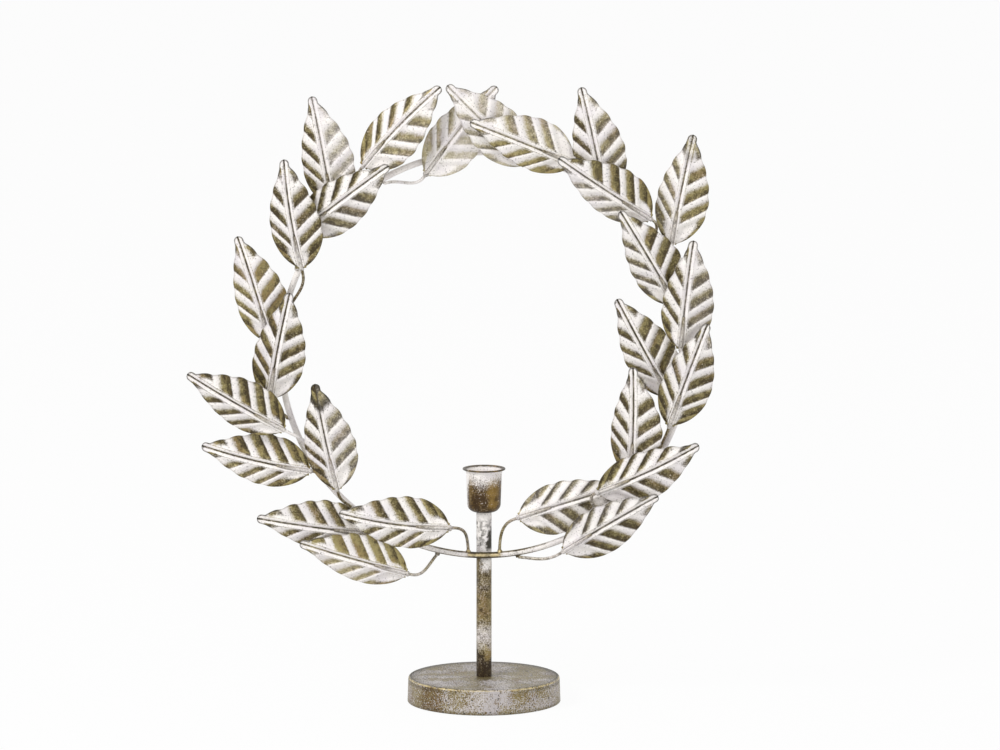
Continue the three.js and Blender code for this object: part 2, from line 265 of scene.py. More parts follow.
class Paint(Graph):
    """The shader tree of one finish."""

    def __init__(self, name: str) -> None:
        """Makes an empty material.

        Args:
            name: The material's name.
        """
        self.material = bpy.data.materials.new(name)
        self.material.use_nodes = True
        super().__init__(self.material.node_tree)
        self.place = Field(self, self.node("ShaderNodeTexCoord").outputs["Object"])

    def attribute(self, name: str) -> Field:
        """A number stored on the piece's mesh."""
        made = self.node("ShaderNodeAttribute", attribute_name=name)
        return Field(self, made.outputs["Fac"])

    def grain(
        self,
        size: float,
        detail: float = 2.0,
        rough: float = 0.5,
        stretch: Optional[Vector] = None,
    ) -> Field:
        """Noise around one half, in the frame's own coordinates.

        Args:
            size: Size of its marks in metres.
            detail: Number of finer layers.
            rough: Strength of the finer layers.
            stretch: How many times finer it is along each axis.

        Returns:
            The noise, mostly between 0.25 and 0.75.
        """
        place = self.place
        if stretch is not None:
            place = self.call("ShaderNodeMapping", {"Vector": place, "Scale": stretch})
        inputs = {"Vector": place, "Scale": 1.0 / size, "Detail": detail, "Roughness": rough}
        return self.call("ShaderNodeTexNoise", inputs)

    def blend(self, share: Operand, first: Tint, second: Tint) -> Field:
        """First colour at share 0, second at share 1."""
        ends = (end if isinstance(end, Field) else (*end, 1.0) for end in (first, second))
        return self.mixed("RGBA", share, *ends)

    def ramp(self, value: Field, stops: list[tuple[float, float]]) -> Field:
        """A number that follows straight lines between stops.

        Args:
            value: Position between 0 and 1.
            stops: Positions with the value there, in rising order.

        Returns:
            The value at the position.
        """
        made = self.node("ShaderNodeValToRGB")
        self.feed(made.inputs[0], value)
        elements = made.color_ramp.elements
        while len(elements) < len(stops):
            elements.new(1.0)
        for element, (position, level) in zip(elements, stops):
            element.position = position
            element.color = (level, level, level, 1.0)
        return Field(self, made.outputs[0])

    def close(
        self, colour: Field, roughness: Field, metallic: Operand, height: Field, depth: float
    ) -> Finish:
        """Ends the tree in a Principled surface.

        Args:
            colour: Base colour.
            roughness: Roughness.
            metallic: Metallic share.
            height: Fine relief between 0 and 1.
            depth: Depth of that relief in metres.

        Returns:
            The finished material.
        """
        inputs = {
            "Base Color": colour,
            "Roughness": roughness,
            "Metallic": metallic,
            "Normal": self.call("ShaderNodeBump", {"Distance": depth, "Height": height}),
        }
        surface = self.call("ShaderNodeBsdfPrincipled", inputs)
        self.feed(self.node("ShaderNodeOutputMaterial").inputs["Surface"], surface)
        return self.material


class Shape(Graph):
    """A Geometry Nodes tree with named inputs that makes plain meshes."""

    def __init__(self, name: str) -> None:
        """Makes an empty tree with a geometry input and output.

        Args:
            name: The tree's name.
        """
        super().__init__(bpy.data.node_groups.new(name, "GeometryNodeTree"))
        self.identifiers: dict[str, str] = {}
        kind = "NodeSocketGeometry"
        self._socket("Geometry", kind)
        self.tree.interface.new_socket("Geometry", in_out="OUTPUT", socket_type=kind)
        self.inputs = self.node("NodeGroupInput")
        self.output = self.node("NodeGroupOutput")

    def _socket(self, name: str, kind: str) -> None:
        """Adds a named input to the tree."""
        made = self.tree.interface.new_socket(name, in_out="INPUT", socket_type=kind)
        self.identifiers[name] = made.identifier

    def number(self, name: str, whole: bool = False) -> Field:
        """Adds a number input.

        Args:
            name: The input's name.
            whole: Whether it is a whole number.

        Returns:
            The input's value.
        """
        self._socket(name, "NodeSocketInt" if whole else "NodeSocketFloat")
        return Field(self, self.inputs.outputs[name])

    def given(self) -> Field:
        """The geometry of the object that carries the tree."""
        return Field(self, self.inputs.outputs["Geometry"])

    def keep(
        self, geometry: Field, name: str, value: Operand, where: Union[Field, bool] = True
    ) -> Field:
        """Stores a number on the mesh's points under a name.

        Args:
            geometry: The mesh.
            name: The attribute's name.
            value: What to store.
            where: The points that get it.

        Returns:
            The mesh with the attribute.
        """
        kind = "GeometryNodeStoreNamedAttribute"
        inputs = {"Geometry": geometry, "Selection": where, "Name": name, "Value": value}
        return self.call(kind, inputs, data_type="FLOAT", domain="POINT")

    def join(self, *parts: Field) -> Field:
        """Joins geometries into one.

        Args:
            parts: The geometries.

        Returns:
            All of them together.
        """
        made = self.node("GeometryNodeJoinGeometry")
        for part in parts:
            self.feed(made.inputs[0], part)
        return Field(self, made.outputs[0])

    def smooth(self, geometry: Field, crease: float) -> Field:
        """Shades a mesh smooth, apart from edges that turn more than an angle.

        Args:
            geometry: The mesh.
            crease: The angle in radians.

        Returns:
            The shaded mesh.
        """
        kind = "GeometryNodeSetShadeSmooth"
        shaded = self.call(kind, {"Geometry": geometry, "Shade Smooth": True}, domain="FACE")
        angle = self.call("GeometryNodeInputMeshEdgeAngle", {})
        soft = self.math("LESS_THAN", angle, crease)
        return self.call(kind, {"Geometry": shaded, "Shade Smooth": soft}, domain="EDGE")

    def circle(self, count: Field, radius: Field) -> Field:
        """A round curve with a number of points."""
        inputs = {"Resolution": count, "Radius": radius}
        return self.call("GeometryNodeCurvePrimitiveCircle", inputs)

    def tube(self, line: Field, diameter: Field, sides: Field, capped: bool) -> Field:
        """Runs a round section along a curve.

        Args:
            line: The curve.
            diameter: The section's diameter.
            sides: Points round the section.
            capped: Whether to close the ends.

        Returns:
            The mesh.
        """
        section = self.circle(sides, diameter * 0.5)
        inputs = {"Curve": line, "Profile Curve": section, "Fill Caps": capped}
        return self.call("GeometryNodeCurveToMesh", inputs)

    def end(self, geometry: Field) -> None:
        """Ends the tree: real geometry with its material.

        Args:
            geometry: What the tree makes.
        """
        self._socket("Material", "NodeSocketMaterial")
        real = self.call("GeometryNodeRealizeInstances", {"Geometry": geometry})
        finish = Field(self, self.inputs.outputs["Material"])
        dressed = self.call("GeometryNodeSetMaterial", {"Geometry": real, "Material": finish})
        self.feed(self.output.inputs[0], dressed)

    def make(
        self, name: str, values: dict[str, object], carrier: Optional[bpy.types.Mesh] = None
    ) -> bpy.types.Object:
        """Runs the tree once and keeps its result as a plain mesh.

        Args:
            name: The piece's name.
            values: Input names with their values.
            carrier: A mesh that the tree works on, for trees that need one.

        Returns:
            An object at the origin with the finished mesh and no modifier.
        """
        source = carrier or bpy.data.meshes.new(f"{name}_source")
        piece = bpy.data.objects.new(name, source)
        bpy.context.scene.collection.objects.link(piece)
        modifier = piece.modifiers.new("shape", "NODES")
        modifier.node_group = self.tree
        for label, value in values.items():
            modifier[self.identifiers[label]] = value
        depsgraph = bpy.context.evaluated_depsgraph_get()
        made = bpy.data.meshes.new_from_object(
            piece.evaluated_get(depsgraph), preserve_all_data_layers=True, depsgraph=depsgraph
        )
        piece.modifiers.remove(modifier)
        piece.data = made
        made.name = name
        bpy.data.meshes.remove(source)
        return piece


# Finishes


def srgb(red: int, green: int, blue: int) -> Colour:
    """Turns a colour as it shows on a screen into linear light.

    Args:
        red: Its red, from 0 to 255.
        green: Its green.
        blue: Its blue.

    Returns:
        The three shares of linear light.
    """
    shares = [value / 255 for value in (red, green, blue)]
    linear = [x / 12.92 if x <= 0.04045 else ((x + 0.055) / 1.055) ** 2.4 for x in shares]
    return linear[0], linear[1], linear[2]


@dataclass(frozen=True)
class Coat:
    """What is left of a piece's white wash and how the bronze under it looks.

    Attributes:
        wash: Share of white wash, before grains break up its border.
        light: Share of light bronze in the bare places, before grains break it up.
        worn: Share of rubbed brass, brightened as a painted highlight, if there is any.
        veil: How far an even thin film of wash covers the bare places, which on the leaves also
            paints light on their paler halves.
        grit: How much of the finish's fine grain shows.
        grime: Share of dark grime over all, together with painted shade on flanks, rims and
            recesses.
    """

    wash: Field
    light: Operand = 0.5
    worn: Optional[Field] = None
    veil: Operand = 0.0
    grit: Operand = 1.0
    grime: Operand = 0.0


@dataclass(frozen=True)
class Patina:
    """Bronze under a white wash that was brushed on and rubbed off again.

    Attributes:
        name: The material's name.
        shade: Bronze in its dark places.
        bronze: Bronze in its light places.
        wash: The white wash.
        tint: The wash where it is thin.
        soft: Softness of the wash's border: 0 is a hard line.
        blotch: How much patches of some centimetres move the border.
        patch: How much patches of some millimetres move it.
        speckle: How much fine grains move it.
        fleck: How strongly single grains stand out.
        pits: How dark the pinholes are.
        metal: Metallic share of the bare bronze.
    """

    name: str
    shade: Colour = srgb(58, 46, 26)
    bronze: Colour = srgb(140, 122, 74)
    wash: Colour = srgb(252, 247, 242)
    tint: Colour = srgb(235, 229, 230)
    soft: float = 0.45
    blotch: float = 0.5
    patch: float = 0.5
    speckle: float = 0.9
    fleck: float = 0.2
    pits: float = 0.45
    metal: float = 0.5

    BLOTCH_SIZE = 14 * MM
    PATCH_SIZE = 4 * MM
    SPECK_SIZE = 0.9 * MM
    PIT_SIZE = 1.1 * MM
    BUMP_DEPTH = 0.25 * MM
    FLECK_FROM, FLECK_TO = 0.14, 0.27
    PIT_FROM, PIT_TO = 0.67, 0.77
    PATCH_ON_LIGHT, SPECK_ON_LIGHT = 1.4, 1.5
    BROWN_SHARE = 0.6
    BRONZE_ROUGHNESS, WASH_ROUGHNESS, BRASS_ROUGHNESS = 0.42, 0.62, 0.3
    SPECK_ROUGHNESS = 0.2
    BRASS_METAL = 0.6
    BRASS = srgb(226, 206, 154)
    BROWN = srgb(124, 92, 52)
    GRIME = srgb(56, 51, 40)

    def material(self, lay: Callable[[Paint], Coat]) -> Finish:
        """Builds the finish.

        Args:
            lay: Lays the coat over the piece.

        Returns:
            The material.
        """
        paint = Paint(self.name)
        coat = lay(paint)
        blotch = paint.grain(self.BLOTCH_SIZE) - 0.5
        patch = paint.grain(self.PATCH_SIZE, detail=3) - 0.5
        speck = paint.grain(self.SPECK_SIZE) - 0.5
        fleck = paint.smoothstep(speck, self.FLECK_FROM, self.FLECK_TO)
        fleck = fleck - paint.smoothstep(-speck, self.FLECK_FROM, self.FLECK_TO)
        grit = (speck * self.speckle + fleck * self.fleck) * coat.grit
        level = coat.wash + blotch * self.blotch + patch * self.patch + grit
        share = paint.smoothstep(level, 0.5 - self.soft, 0.5 + self.soft)
        share = paint.mix(coat.veil, share, 1.0)
        light = patch * self.PATCH_ON_LIGHT + speck * self.SPECK_ON_LIGHT + coat.light
        light = paint.smoothstep(light, 0.0, 1.0)
        bare = paint.blend(light, self.shade, self.bronze)
        brown = paint.smoothstep(blotch, -0.02, 0.18) * light * self.BROWN_SHARE
        bare = paint.blend(brown, bare, self.BROWN)
        thin = paint.smoothstep(blotch + speck * 0.5, -0.15, 0.3)
        white = paint.blend(thin, self.wash, self.tint)
        colour = paint.blend(share, bare, white)
        metallic = (1 - share) * self.metal
        roughness = paint.mix(share, self.BRONZE_ROUGHNESS, self.WASH_ROUGHNESS)
        roughness = roughness + speck * self.SPECK_ROUGHNESS
        if coat.worn is not None:
            # Rubbed brass, in a colour light enough to serve as a painted highlight on the metal.
            rubbed = paint.limit(coat.worn * paint.smoothstep(patch, -0.35, 0.1))
            colour = paint.blend(rubbed, colour, self.BRASS)
            metallic = paint.mix(rubbed, metallic, self.BRASS_METAL)
            roughness = paint.mix(rubbed, roughness, self.BRASS_ROUGHNESS)
        holes = paint.grain(self.PIT_SIZE, detail=0.0)
        pits = paint.smoothstep(holes, self.PIT_FROM, self.PIT_TO) * self.pits
        # Pits, grime and painted shade all darken towards one dark colour.
        colour = paint.blend(paint.limit(pits + coat.grime), colour, self.GRIME)
        height = share * 0.5 + speck * 0.5
        return paint.close(colour, roughness, metallic, height, self.BUMP_DEPTH)


def window(paint: Paint, value: Field, low: float, high: float, soft: float) -> Field:
    """1 between two values and 0 outside them.

    Args:
        paint: The tree.
        value: The value.
        low: Lower end of the window.
        high: Upper end of it.
        soft: Width over which each end fades.

    Returns:
        The window's share.
    """
    rise = paint.smoothstep(value, low - soft / 2, low + soft / 2)
    return rise * (1 - paint.smoothstep(value, high - soft / 2, high + soft / 2))


# Spans over which the stem's and the cup's wear is measured, from the floor and from the cup's seat
STEM_SPAN = 140 * MM
CUP_SEAT = 139.3 * MM
CUP_SPAN = 32 * MM


def leaf_coat(paint: Paint) -> Coat:
    """Coat of a leaf: white on the veins and by the midrib, bare between them and in the groove.

    From one vein to the next the wash stops short behind the vein and comes back in a slow fade.
    The zones before the first vein and after the last differ from leaf to leaf.

    Args:
        paint: The tree of the leaves' finish.

    Returns:
        The coat.
    """
    beat = paint.attribute("beat")
    share = paint.attribute("share")
    across = paint.attribute("across")
    front = paint.attribute("obverse")
    bared = paint.attribute("bared")
    away = paint.math("ABSOLUTE", across)
    to_edge = away * (1 - share) / (share + 0.001)
    wide_half = paint.smoothstep(-across, -1.0, 1.0)
    phase = paint.math("FRACT", beat + front * 0.5)
    fall = wide_half * 0.12 + 0.38
    band = paint.smoothstep(phase, 0.04, 0.24) * (1 - paint.smoothstep(phase, fall, fall + 0.46))
    band = band * paint.smoothstep(away, 2.3, 4.4) * window(paint, beat, 0.45, 3.6, 0.2)
    inside = 0.7 - bared * 0.62
    base = 1 - paint.smoothstep(beat, 0.12, 0.42)
    base = base * paint.smoothstep(share, inside, inside + 0.35)
    last = window(paint, beat, 3.62, 4.3, 0.25) * paint.smoothstep(share, 0.4, 0.8) * 0.75
    ending = paint.smoothstep(beat, 3.5, 3.9)
    tip = ending * paint.attribute("tip")
    # The groove is bare bronze, and below it is made darker in light and grime as painted shade of
    # the recess.
    groove = (1 - paint.smoothstep(away, 0.3, 1.0)) * front * 0.8
    # Painted shade along the outer sides of the midrib's rails, standing in for the shading of
    # their relief.
    painted_rail_shade = window(paint, away, 2.4, 3.2, 0.7) * front * 0.38
    bare = band + base + paint.math("MAXIMUM", last, tip) + painted_rail_shade
    bare = paint.math("MAXIMUM", bare, groove)
    light = paint.smoothstep(phase, 0.1, 0.8) * (1 - groove) * 0.65 + 0.05
    outline = (1 - paint.smoothstep(to_edge, 0.2, 0.9)) * (ending * 0.5 + 0.25)
    grime = outline + groove * 0.2 + tip * window(paint, beat, 3.5, 4.1, 0.3) * 0.6
    # Paler halves of a leaf: partly more wash left on them, partly painted light.
    pale = paint.attribute("pale")
    wash = 1 - bare * (1 - pale * 0.7)
    veil = paint.limit(pale * 0.35)
    return Coat(wash, light + paint.attribute("tone"), veil=veil, grime=grime)


def rod_coat(paint: Paint) -> Coat:
    """Coat of the ring: white with its upper and lower flanks darkened as painted shade, bronze by
    the stem, and brass where it crosses it with a painted highlight along its front.

    Args:
        paint: The tree of the ring's finish.

    Returns:
        The coat.
    """
    x, _, z = paint.axes(paint.place)
    outer = paint.attribute("outer")
    aside = paint.math("ABSOLUTE", x)
    low = 1 - paint.smoothstep(z, 120 * MM, 140 * MM)
    near = (1 - paint.smoothstep(aside, 22 * MM, 70 * MM)) * low
    crossing = (1 - paint.smoothstep(aside, 10 * MM, 14 * MM)) * low
    # The rod's upper and lower flanks, as seen from the front, darkened as painted shade by less
    # wash and more grime.
    shaded_flanks = paint.smoothstep(paint.math("ABSOLUTE", outer), 0.4, 0.85)
    # Rubbed brass along the rod's front at the crossing, made bright as a painted highlight.
    brass_highlight = crossing * window(paint, outer, -0.4, 0.25, 0.4) * 0.75
    braze = paint.attribute("braze")
    aged = near * 0.35 + crossing * 0.5 + shaded_flanks * (near * 0.55 + 0.05) + braze * 0.5
    grime = shaded_flanks * (crossing * 0.5 + near * 0.15 + 0.03) + braze * 0.12
    return Coat(1.1 - aged, 0.45, brass_highlight, grime=grime)


def wire_coat(paint: Paint) -> Coat:
    """Coat of a stalk: half washed in its leaf's groove, with little of the wash left elsewhere.

    Args:
        paint: The tree of the stalks' finish.

    Returns:
        The coat.
    """
    inset = paint.attribute("inset")
    free = paint.grain(9 * MM) * 0.8 - 0.2 + paint.attribute("washed")
    tucked = 1 - paint.smoothstep(inset, 0.9, 1.1)
    deep = paint.smoothstep(inset, 0.0, 0.7) * 0.36 + 0.3
    return Coat(paint.mix(tucked, free, deep), 0.5, grime=tucked * 0.12)


def stem_coat(paint: Paint) -> Coat:
    """Coat of the stem: white above the ring with one bare scar, blotched below, bare at the foot.

    Args:
        paint: The tree of the stem's finish.

    Returns:
        The coat.
    """
    x, y, z = paint.axes(paint.place)
    ragged = paint.grain(3 * MM, detail=3) - 0.5
    height = z / STEM_SPAN
    torn = height + (paint.grain(7 * MM, detail=3) - 0.5) * 0.12
    aside = x + ragged * (8 * MM)
    patch = paint.smoothstep(aside, -5.5 * MM, 0.5 * MM) * window(paint, torn, 0.69, 0.79, 0.1)
    washed = [(0.26, 0.02), (0.3, 0.4), (0.34, 0.5), (0.38, 0.46), (0.44, 0.08), (0.54, 0.04)]
    washed += [(0.6, 0.2), (0.64, 0.2), (0.69, 0.05)]
    wash = paint.ramp(torn, washed) + patch * 0.75
    wash = wash + paint.smoothstep(height, 0.772, 0.782)
    lights = [(0.2, 0.05), (0.27, 0.25), (0.31, 0.6), (0.45, 0.58), (0.56, 0.5), (0.62, 0.4)]
    lights.append((0.72, 0.5))
    right = paint.smoothstep(aside, -2 * MM, 3 * MM)
    light = paint.ramp(torn, lights) + right * window(paint, torn, 0.22, 0.3, 0.03) * 0.7
    scar = paint.smoothstep(x + ragged * (6 * MM), 1.0 * MM, 3.0 * MM)
    scar = scar * window(paint, height, 0.8, 0.89, 0.04)
    scar = scar * paint.smoothstep(ragged * (6 * MM) - y, -0.5 * MM, 1.5 * MM)
    smears = paint.smoothstep(ragged, -0.1, 0.12) * window(paint, height, 0.82, 0.96, 0.06) * 0.65
    # Painted shadow just under the ring.
    shadow = window(paint, height, 0.75, 0.77, 0.015) * 0.25
    # Both sides of the stem darkened as painted shade, the left side more.
    shaded_flanks = paint.smoothstep(-x, 3.6 * MM, 5.5 * MM) * 0.22
    shaded_flanks = shaded_flanks + paint.smoothstep(x, 4.8 * MM, 5.6 * MM) * 0.12
    return Coat(wash, light, grime=scar * 0.9 + smears + shadow + shaded_flanks)


def cup_coat(paint: Paint) -> Coat:
    """Coat of the cup: thick under the lip and inside, rubbed off the body and the lip's edge.

    Args:
        paint: The tree of the cup's finish.

    Returns:
        The coat.
    """
    x, _, z = paint.axes(paint.place)
    height = (z - CUP_SEAT) / CUP_SPAN
    ragged = (paint.grain(4 * MM, detail=4, rough=0.7) - 0.5) * 0.4
    aside = paint.math("ABSOLUTE", x + 1 * MM)
    border = paint.smoothstep(aside, 2 * MM, 11 * MM) * 0.09 + 0.68 + ragged
    # A pale strip down the left edge of the cup: a painted reflection, put in as extra wash.
    left = paint.smoothstep(-x, 10.3 * MM, 11.8 * MM) * 0.55
    wash = (height - border) * 2.2 + 0.5
    wash = paint.math("MAXIMUM", paint.math("MINIMUM", wash, 1.1), -0.06) + left
    wash = paint.mix(paint.attribute("inner"), wash, 1.2)
    gold = window(paint, x, 3 * MM, 10 * MM, 4 * MM) * 0.7
    gold = gold + window(paint, x, -11 * MM, -8 * MM, 3 * MM) * 0.35
    light = gold * paint.smoothstep(height, 0.02, 0.2)
    light = light + paint.smoothstep(height, 0.3, 0.6) * 0.2 + ragged + 0.1
    worn = paint.attribute("worn")
    lip = worn * (paint.smoothstep(paint.grain(3 * MM, detail=3), 0.38, 0.58) * 0.6 + 0.2)
    grime = lip + paint.smoothstep(-height, -0.1, 0.0) * 0.4
    return Coat(wash - worn * 1.1, light, grime=grime)


def foot_coat(paint: Paint) -> Coat:
    """Coat of the foot: a thin streaky film on the top with painted reflections in its streaks and
    painted shade at its rims, clouds and two bare patches on the side.

    Args:
        paint: The tree of the foot's finish.

    Returns:
        The coat.
    """
    x, y, z = paint.axes(paint.place)
    radius = paint.math("SQRT", x * x + y * y)
    top = paint.smoothstep(z, 17.9 * MM, 18.5 * MM)
    long = Vector((1, 0.4, 1))
    sand = paint.grain(1.1 * MM, stretch=long) - 0.5
    # Streaks in the top's film, partly real film and partly painted reflection of its waves.
    streaks_and_sheen = paint.grain(14 * MM, detail=2, stretch=Vector((0.5, 1, 1)))
    film = (paint.grain(20 * MM, detail=3) + streaks_and_sheen) * 2.5 + sand * 2.4 - 2.08
    clouds = paint.grain(15 * MM, detail=3) * 1.6 - 0.25
    gold = window(paint, x, -46 * MM, -30 * MM, 10 * MM)
    gold = gold + paint.smoothstep(-x, 46 * MM, 54 * MM) * 0.4
    olive = window(paint, x, 22 * MM, 46 * MM, 14 * MM) * paint.smoothstep(z, 6 * MM, 13 * MM)
    bottom = 1 - paint.smoothstep(z, 0.5 * MM, 4 * MM)
    side = clouds - gold * 0.85 - olive * 0.3 - bottom * 0.35
    light = paint.mix(top, 0.85 - gold * 0.45, 0.9)
    ends = paint.smoothstep(paint.math("ABSOLUTE", x), 12 * MM, 40 * MM)
    back = paint.smoothstep(y, -30 * MM, 30 * MM)
    # The top darkened towards its rear and side rims and in a thin line inside the front edge, as
    # painted reflection and shade; fine dark specks are added to it.
    rim_shade_and_specks = paint.smoothstep(radius, 44 * MM, 54.5 * MM) * (back * 0.5 + ends * 0.15 + 0.05)
    rim_shade_and_specks = rim_shade_and_specks + window(paint, radius, 52.4 * MM, 53.6 * MM, 0.8 * MM) * 0.35 + 0.16
    specks = paint.grain(0.9 * MM, detail=0, stretch=long)
    rim_shade_and_specks = rim_shade_and_specks + paint.smoothstep(specks, 0.58, 0.68) * 0.5
    # Painted shade in a band just under the top edge, stronger at the ends.
    shoulder = window(paint, z, 15 * MM, 17.2 * MM, 1.2 * MM) * (ends * 0.3 + 0.05)
    # Rubbed brass on the top edge, made bright as a painted highlight, strongest at the ends.
    rubbed = ends * 0.55 + 0.4
    rubbed = rubbed * paint.smoothstep(paint.grain(5 * MM), 0.3, 0.55) * paint.attribute("worn")
    return Coat(
        paint.mix(top, side, film),
        light,
        rubbed,
        grit=paint.mix(top, gold * 0.9 + ends * 0.4 + 1, 0.9),
        grime=paint.mix(top, bottom * 0.4 + shoulder + 0.04, rim_shade_and_specks),
    )


def felt_material() -> Finish:
    """Pressed felt: matted fibres in a dark grey.

    Returns:
        The material.
    """
    paint = Paint("pressed_felt")
    fibres = paint.grain(1.2 * MM, detail=6, rough=0.7)
    colour = paint.blend(fibres, srgb(28, 26, 24), srgb(74, 70, 66))
    return paint.close(colour, fibres * 0.1 + 0.9, 0.0, fibres, 0.4 * MM)


def iron_material() -> Finish:
    """Raw cast iron: dark and grainy, with a little rust.

    Returns:
        The material.
    """
    paint = Paint("raw_iron")
    sand = paint.grain(0.8 * MM, detail=4, rough=0.6)
    rust = paint.smoothstep(paint.grain(12 * MM, detail=4), 0.55, 0.7)
    iron = paint.blend(sand, srgb(52, 52, 54), srgb(96, 96, 98))
    colour = paint.blend(rust, iron, srgb(110, 70, 46))
    return paint.close(colour, sand * 0.2 + 0.65, 0.6, sand, 0.3 * MM)


# Leaves and stalks


@dataclass(frozen=True)
class Leaf:
    """How one leaf sits on the ring. Angles are degrees, lengths are millimetres.

    Attributes:
        foot: Where on the ring its stalk is brazed, counted up from the stem.
        side: The side of the rod that the stalk meets: 0 front, 90 outside, -90 inside the ring.
        lean: 0 butts square against the rod, 90 lies along it.
        at: Ring angle of the blade's base.
        out: Distance of the base outside the ring.
        lift: Distance of the base in front of the ring.
        splay: How far the blade turns outwards from the ring's tangent.
        pitch: How far the tip comes forward.
        roll: Turn about the midrib.
        curve: Sideways bend of the midrib.
    """

    foot: float
    side: float
    lean: float
    at: float
    out: float
    lift: float
    splay: float
    pitch: float
    roll: float
    curve: float


LEFT_LEAVES = (
    Leaf(4.5, -90, 10, 11.5, -20, 14, 3, 5, 1.5, -14),
    Leaf(26, 0, 70, 33.2, 8, 7, 24.5, 4, -10, 0.5),
    Leaf(13, 90, 28, 19.5, 20.5, 11, 3.5, 1, -13.5, 1.5),
    Leaf(41, 0, 70, 47.7, -3.5, 9, -31, 8, -9.5, -2),
    Leaf(50, 0, 75, 56.3, 4.5, 5, 43.5, -3, -1.5, -8.5),
    Leaf(58, -60, 60, 70.1, 6.5, 14, 39.5, 3, -13, -0.5),
    Leaf(72, 45, 70, 78.7, 11, 6, -22.5, 8, 2.5, -5.5),
    Leaf(86, 45, 70, 93.9, 7.5, 6, 20.5, 4, -9.5, 7),
    Leaf(104, -45, 70, 116.2, -1, 9, 35, 6, -11.5, -7.5),
    Leaf(115, 45, 70, 124.5, 12.5, 5, -18, 8, 7.5, -6.5),
    Leaf(127, 90, 70, 134.9, 6.5, 4.5, 55.5, -1, -5, 3.5),
    Leaf(140, 45, 70, 147.9, 15.5, 8, 14, 6, -14.5, -8.5),
    Leaf(150, -90, 80, 162.6, -8.5, 4, 33.5, 0, 0, -9),
)
RIGHT_LEAVES = (
    Leaf(4.5, -90, 5, 12, -25.5, 3, -5, 0, 0, -3.5),
    Leaf(9.5, 90, 75, 22.2, 6, 10, -9.5, 8, 15, -9.5),
    Leaf(36, 0, 0, 40, -18.5, 13, 14.5, 2, 8.5, 7),
    Leaf(45, 0, 70, 50.6, -9.5, 6, -38.5, 6, -12, 9),
    Leaf(62, -45, 75, 69.5, -4, 8, -1, 8, 9, -5.5),
    Leaf(71, -90, 70, 77.5, -9.5, 2, -41, 1, -1.5, -1.5),
    Leaf(85, 0, 70, 92.4, -5, 10, 8.5, 7, 4.5, -6),
    Leaf(97, -45, 70, 105.5, -4, 9, -15, 9, 2.5, 2),
    Leaf(114, 45, 70, 121.1, 10.5, 5, 42, 2, -4.5, -3),
    Leaf(124, 0, 20, 130.1, 9, 11, -16, 8, -9.5, -1),
    Leaf(135, 0, 70, 143.3, -2, 12, 41, 0, -2.5, 4),
    Leaf(149, 30, 70, 155.4, 6.5, 9, -2, 6, 5, 2.5),
    Leaf(160, 0, 70, 167.8, -4.5, 7, 33, 4, 9.5, -3.5),
)


@dataclass(frozen=True)
class Wear:
    """Where the wash was rubbed off one leaf. Left and right are those of the leaf with its tip up.

    Attributes:
        left: How bare the left half is before its first vein: 0 washed to the edge,
            1 bare to the midrib.
        right: The same for the right half.
        pale_left: How much paler the left half is than usual, partly from more wash left on it and
            partly as painted light. Less is below 0.
        pale_right: The same for the right half.
        tone: How much lighter the bare bronze is.
        tip: How bare the tip is.
        stalk: How much more of the wash is left on the stalk.
    """

    left: float
    right: float
    pale_left: float = 0
    pale_right: float = 0
    tone: float = 0
    tip: float = 0
    stalk: float = 0


LEFT_WEAR = (
    Wear(0.45, 0.8, tone=0.05),
    Wear(0.5, 0.9, tone=0.1),
    Wear(0.25, 1, 0.15, -0.6, 0.4, stalk=0.2),
    Wear(0.9, 0.45, 0, 0.2, tip=1),
    Wear(0.6, 1, 0, -0.4, 0.05),
    Wear(0.3, 1, 0, -0.35, stalk=0.6),
    Wear(1, 0.15, -0.6),
    Wear(0.55, 0.8, 0, -0.25, 0.25),
    Wear(0.75, 0.9, tone=-0.05),
    Wear(0.9, 0.1, 0, 0.1),
    Wear(0.6, 0.5, 0, 0.4, 0.05),
    Wear(1, 0.3, 0, 0.12, 0.15),
    Wear(0.8, 0.2, 0.3, 0.5, 0.55, stalk=0.6),
)
RIGHT_WEAR = (
    Wear(0.6, 0.5, 0.2, 0.1, 0.05),
    Wear(0.3, 0.3, 0.15, tone=-0.05, stalk=0.2),
    Wear(1, 0.1),
    Wear(0.6, 0.9, tone=-0.05),
    Wear(0.95, 0.95, tone=0.05),
    Wear(0.35, 0.8, 0, -0.25),
    Wear(0.6, 0.4, 0, 0.15),
    Wear(0.3, 1, 0.1, -0.3),
    Wear(0.7, 0.2, 0.1, tone=0.15, tip=0.4),
    Wear(0.3, 0.8, 0.25, -0.3, 0.05),
    Wear(0.5, 0.5, 0, 0.1),
    Wear(0.6, 0, 0, 0.2, 0.3),
    Wear(0.3, 0.3, 0.35, 0.4, 0.35),
)


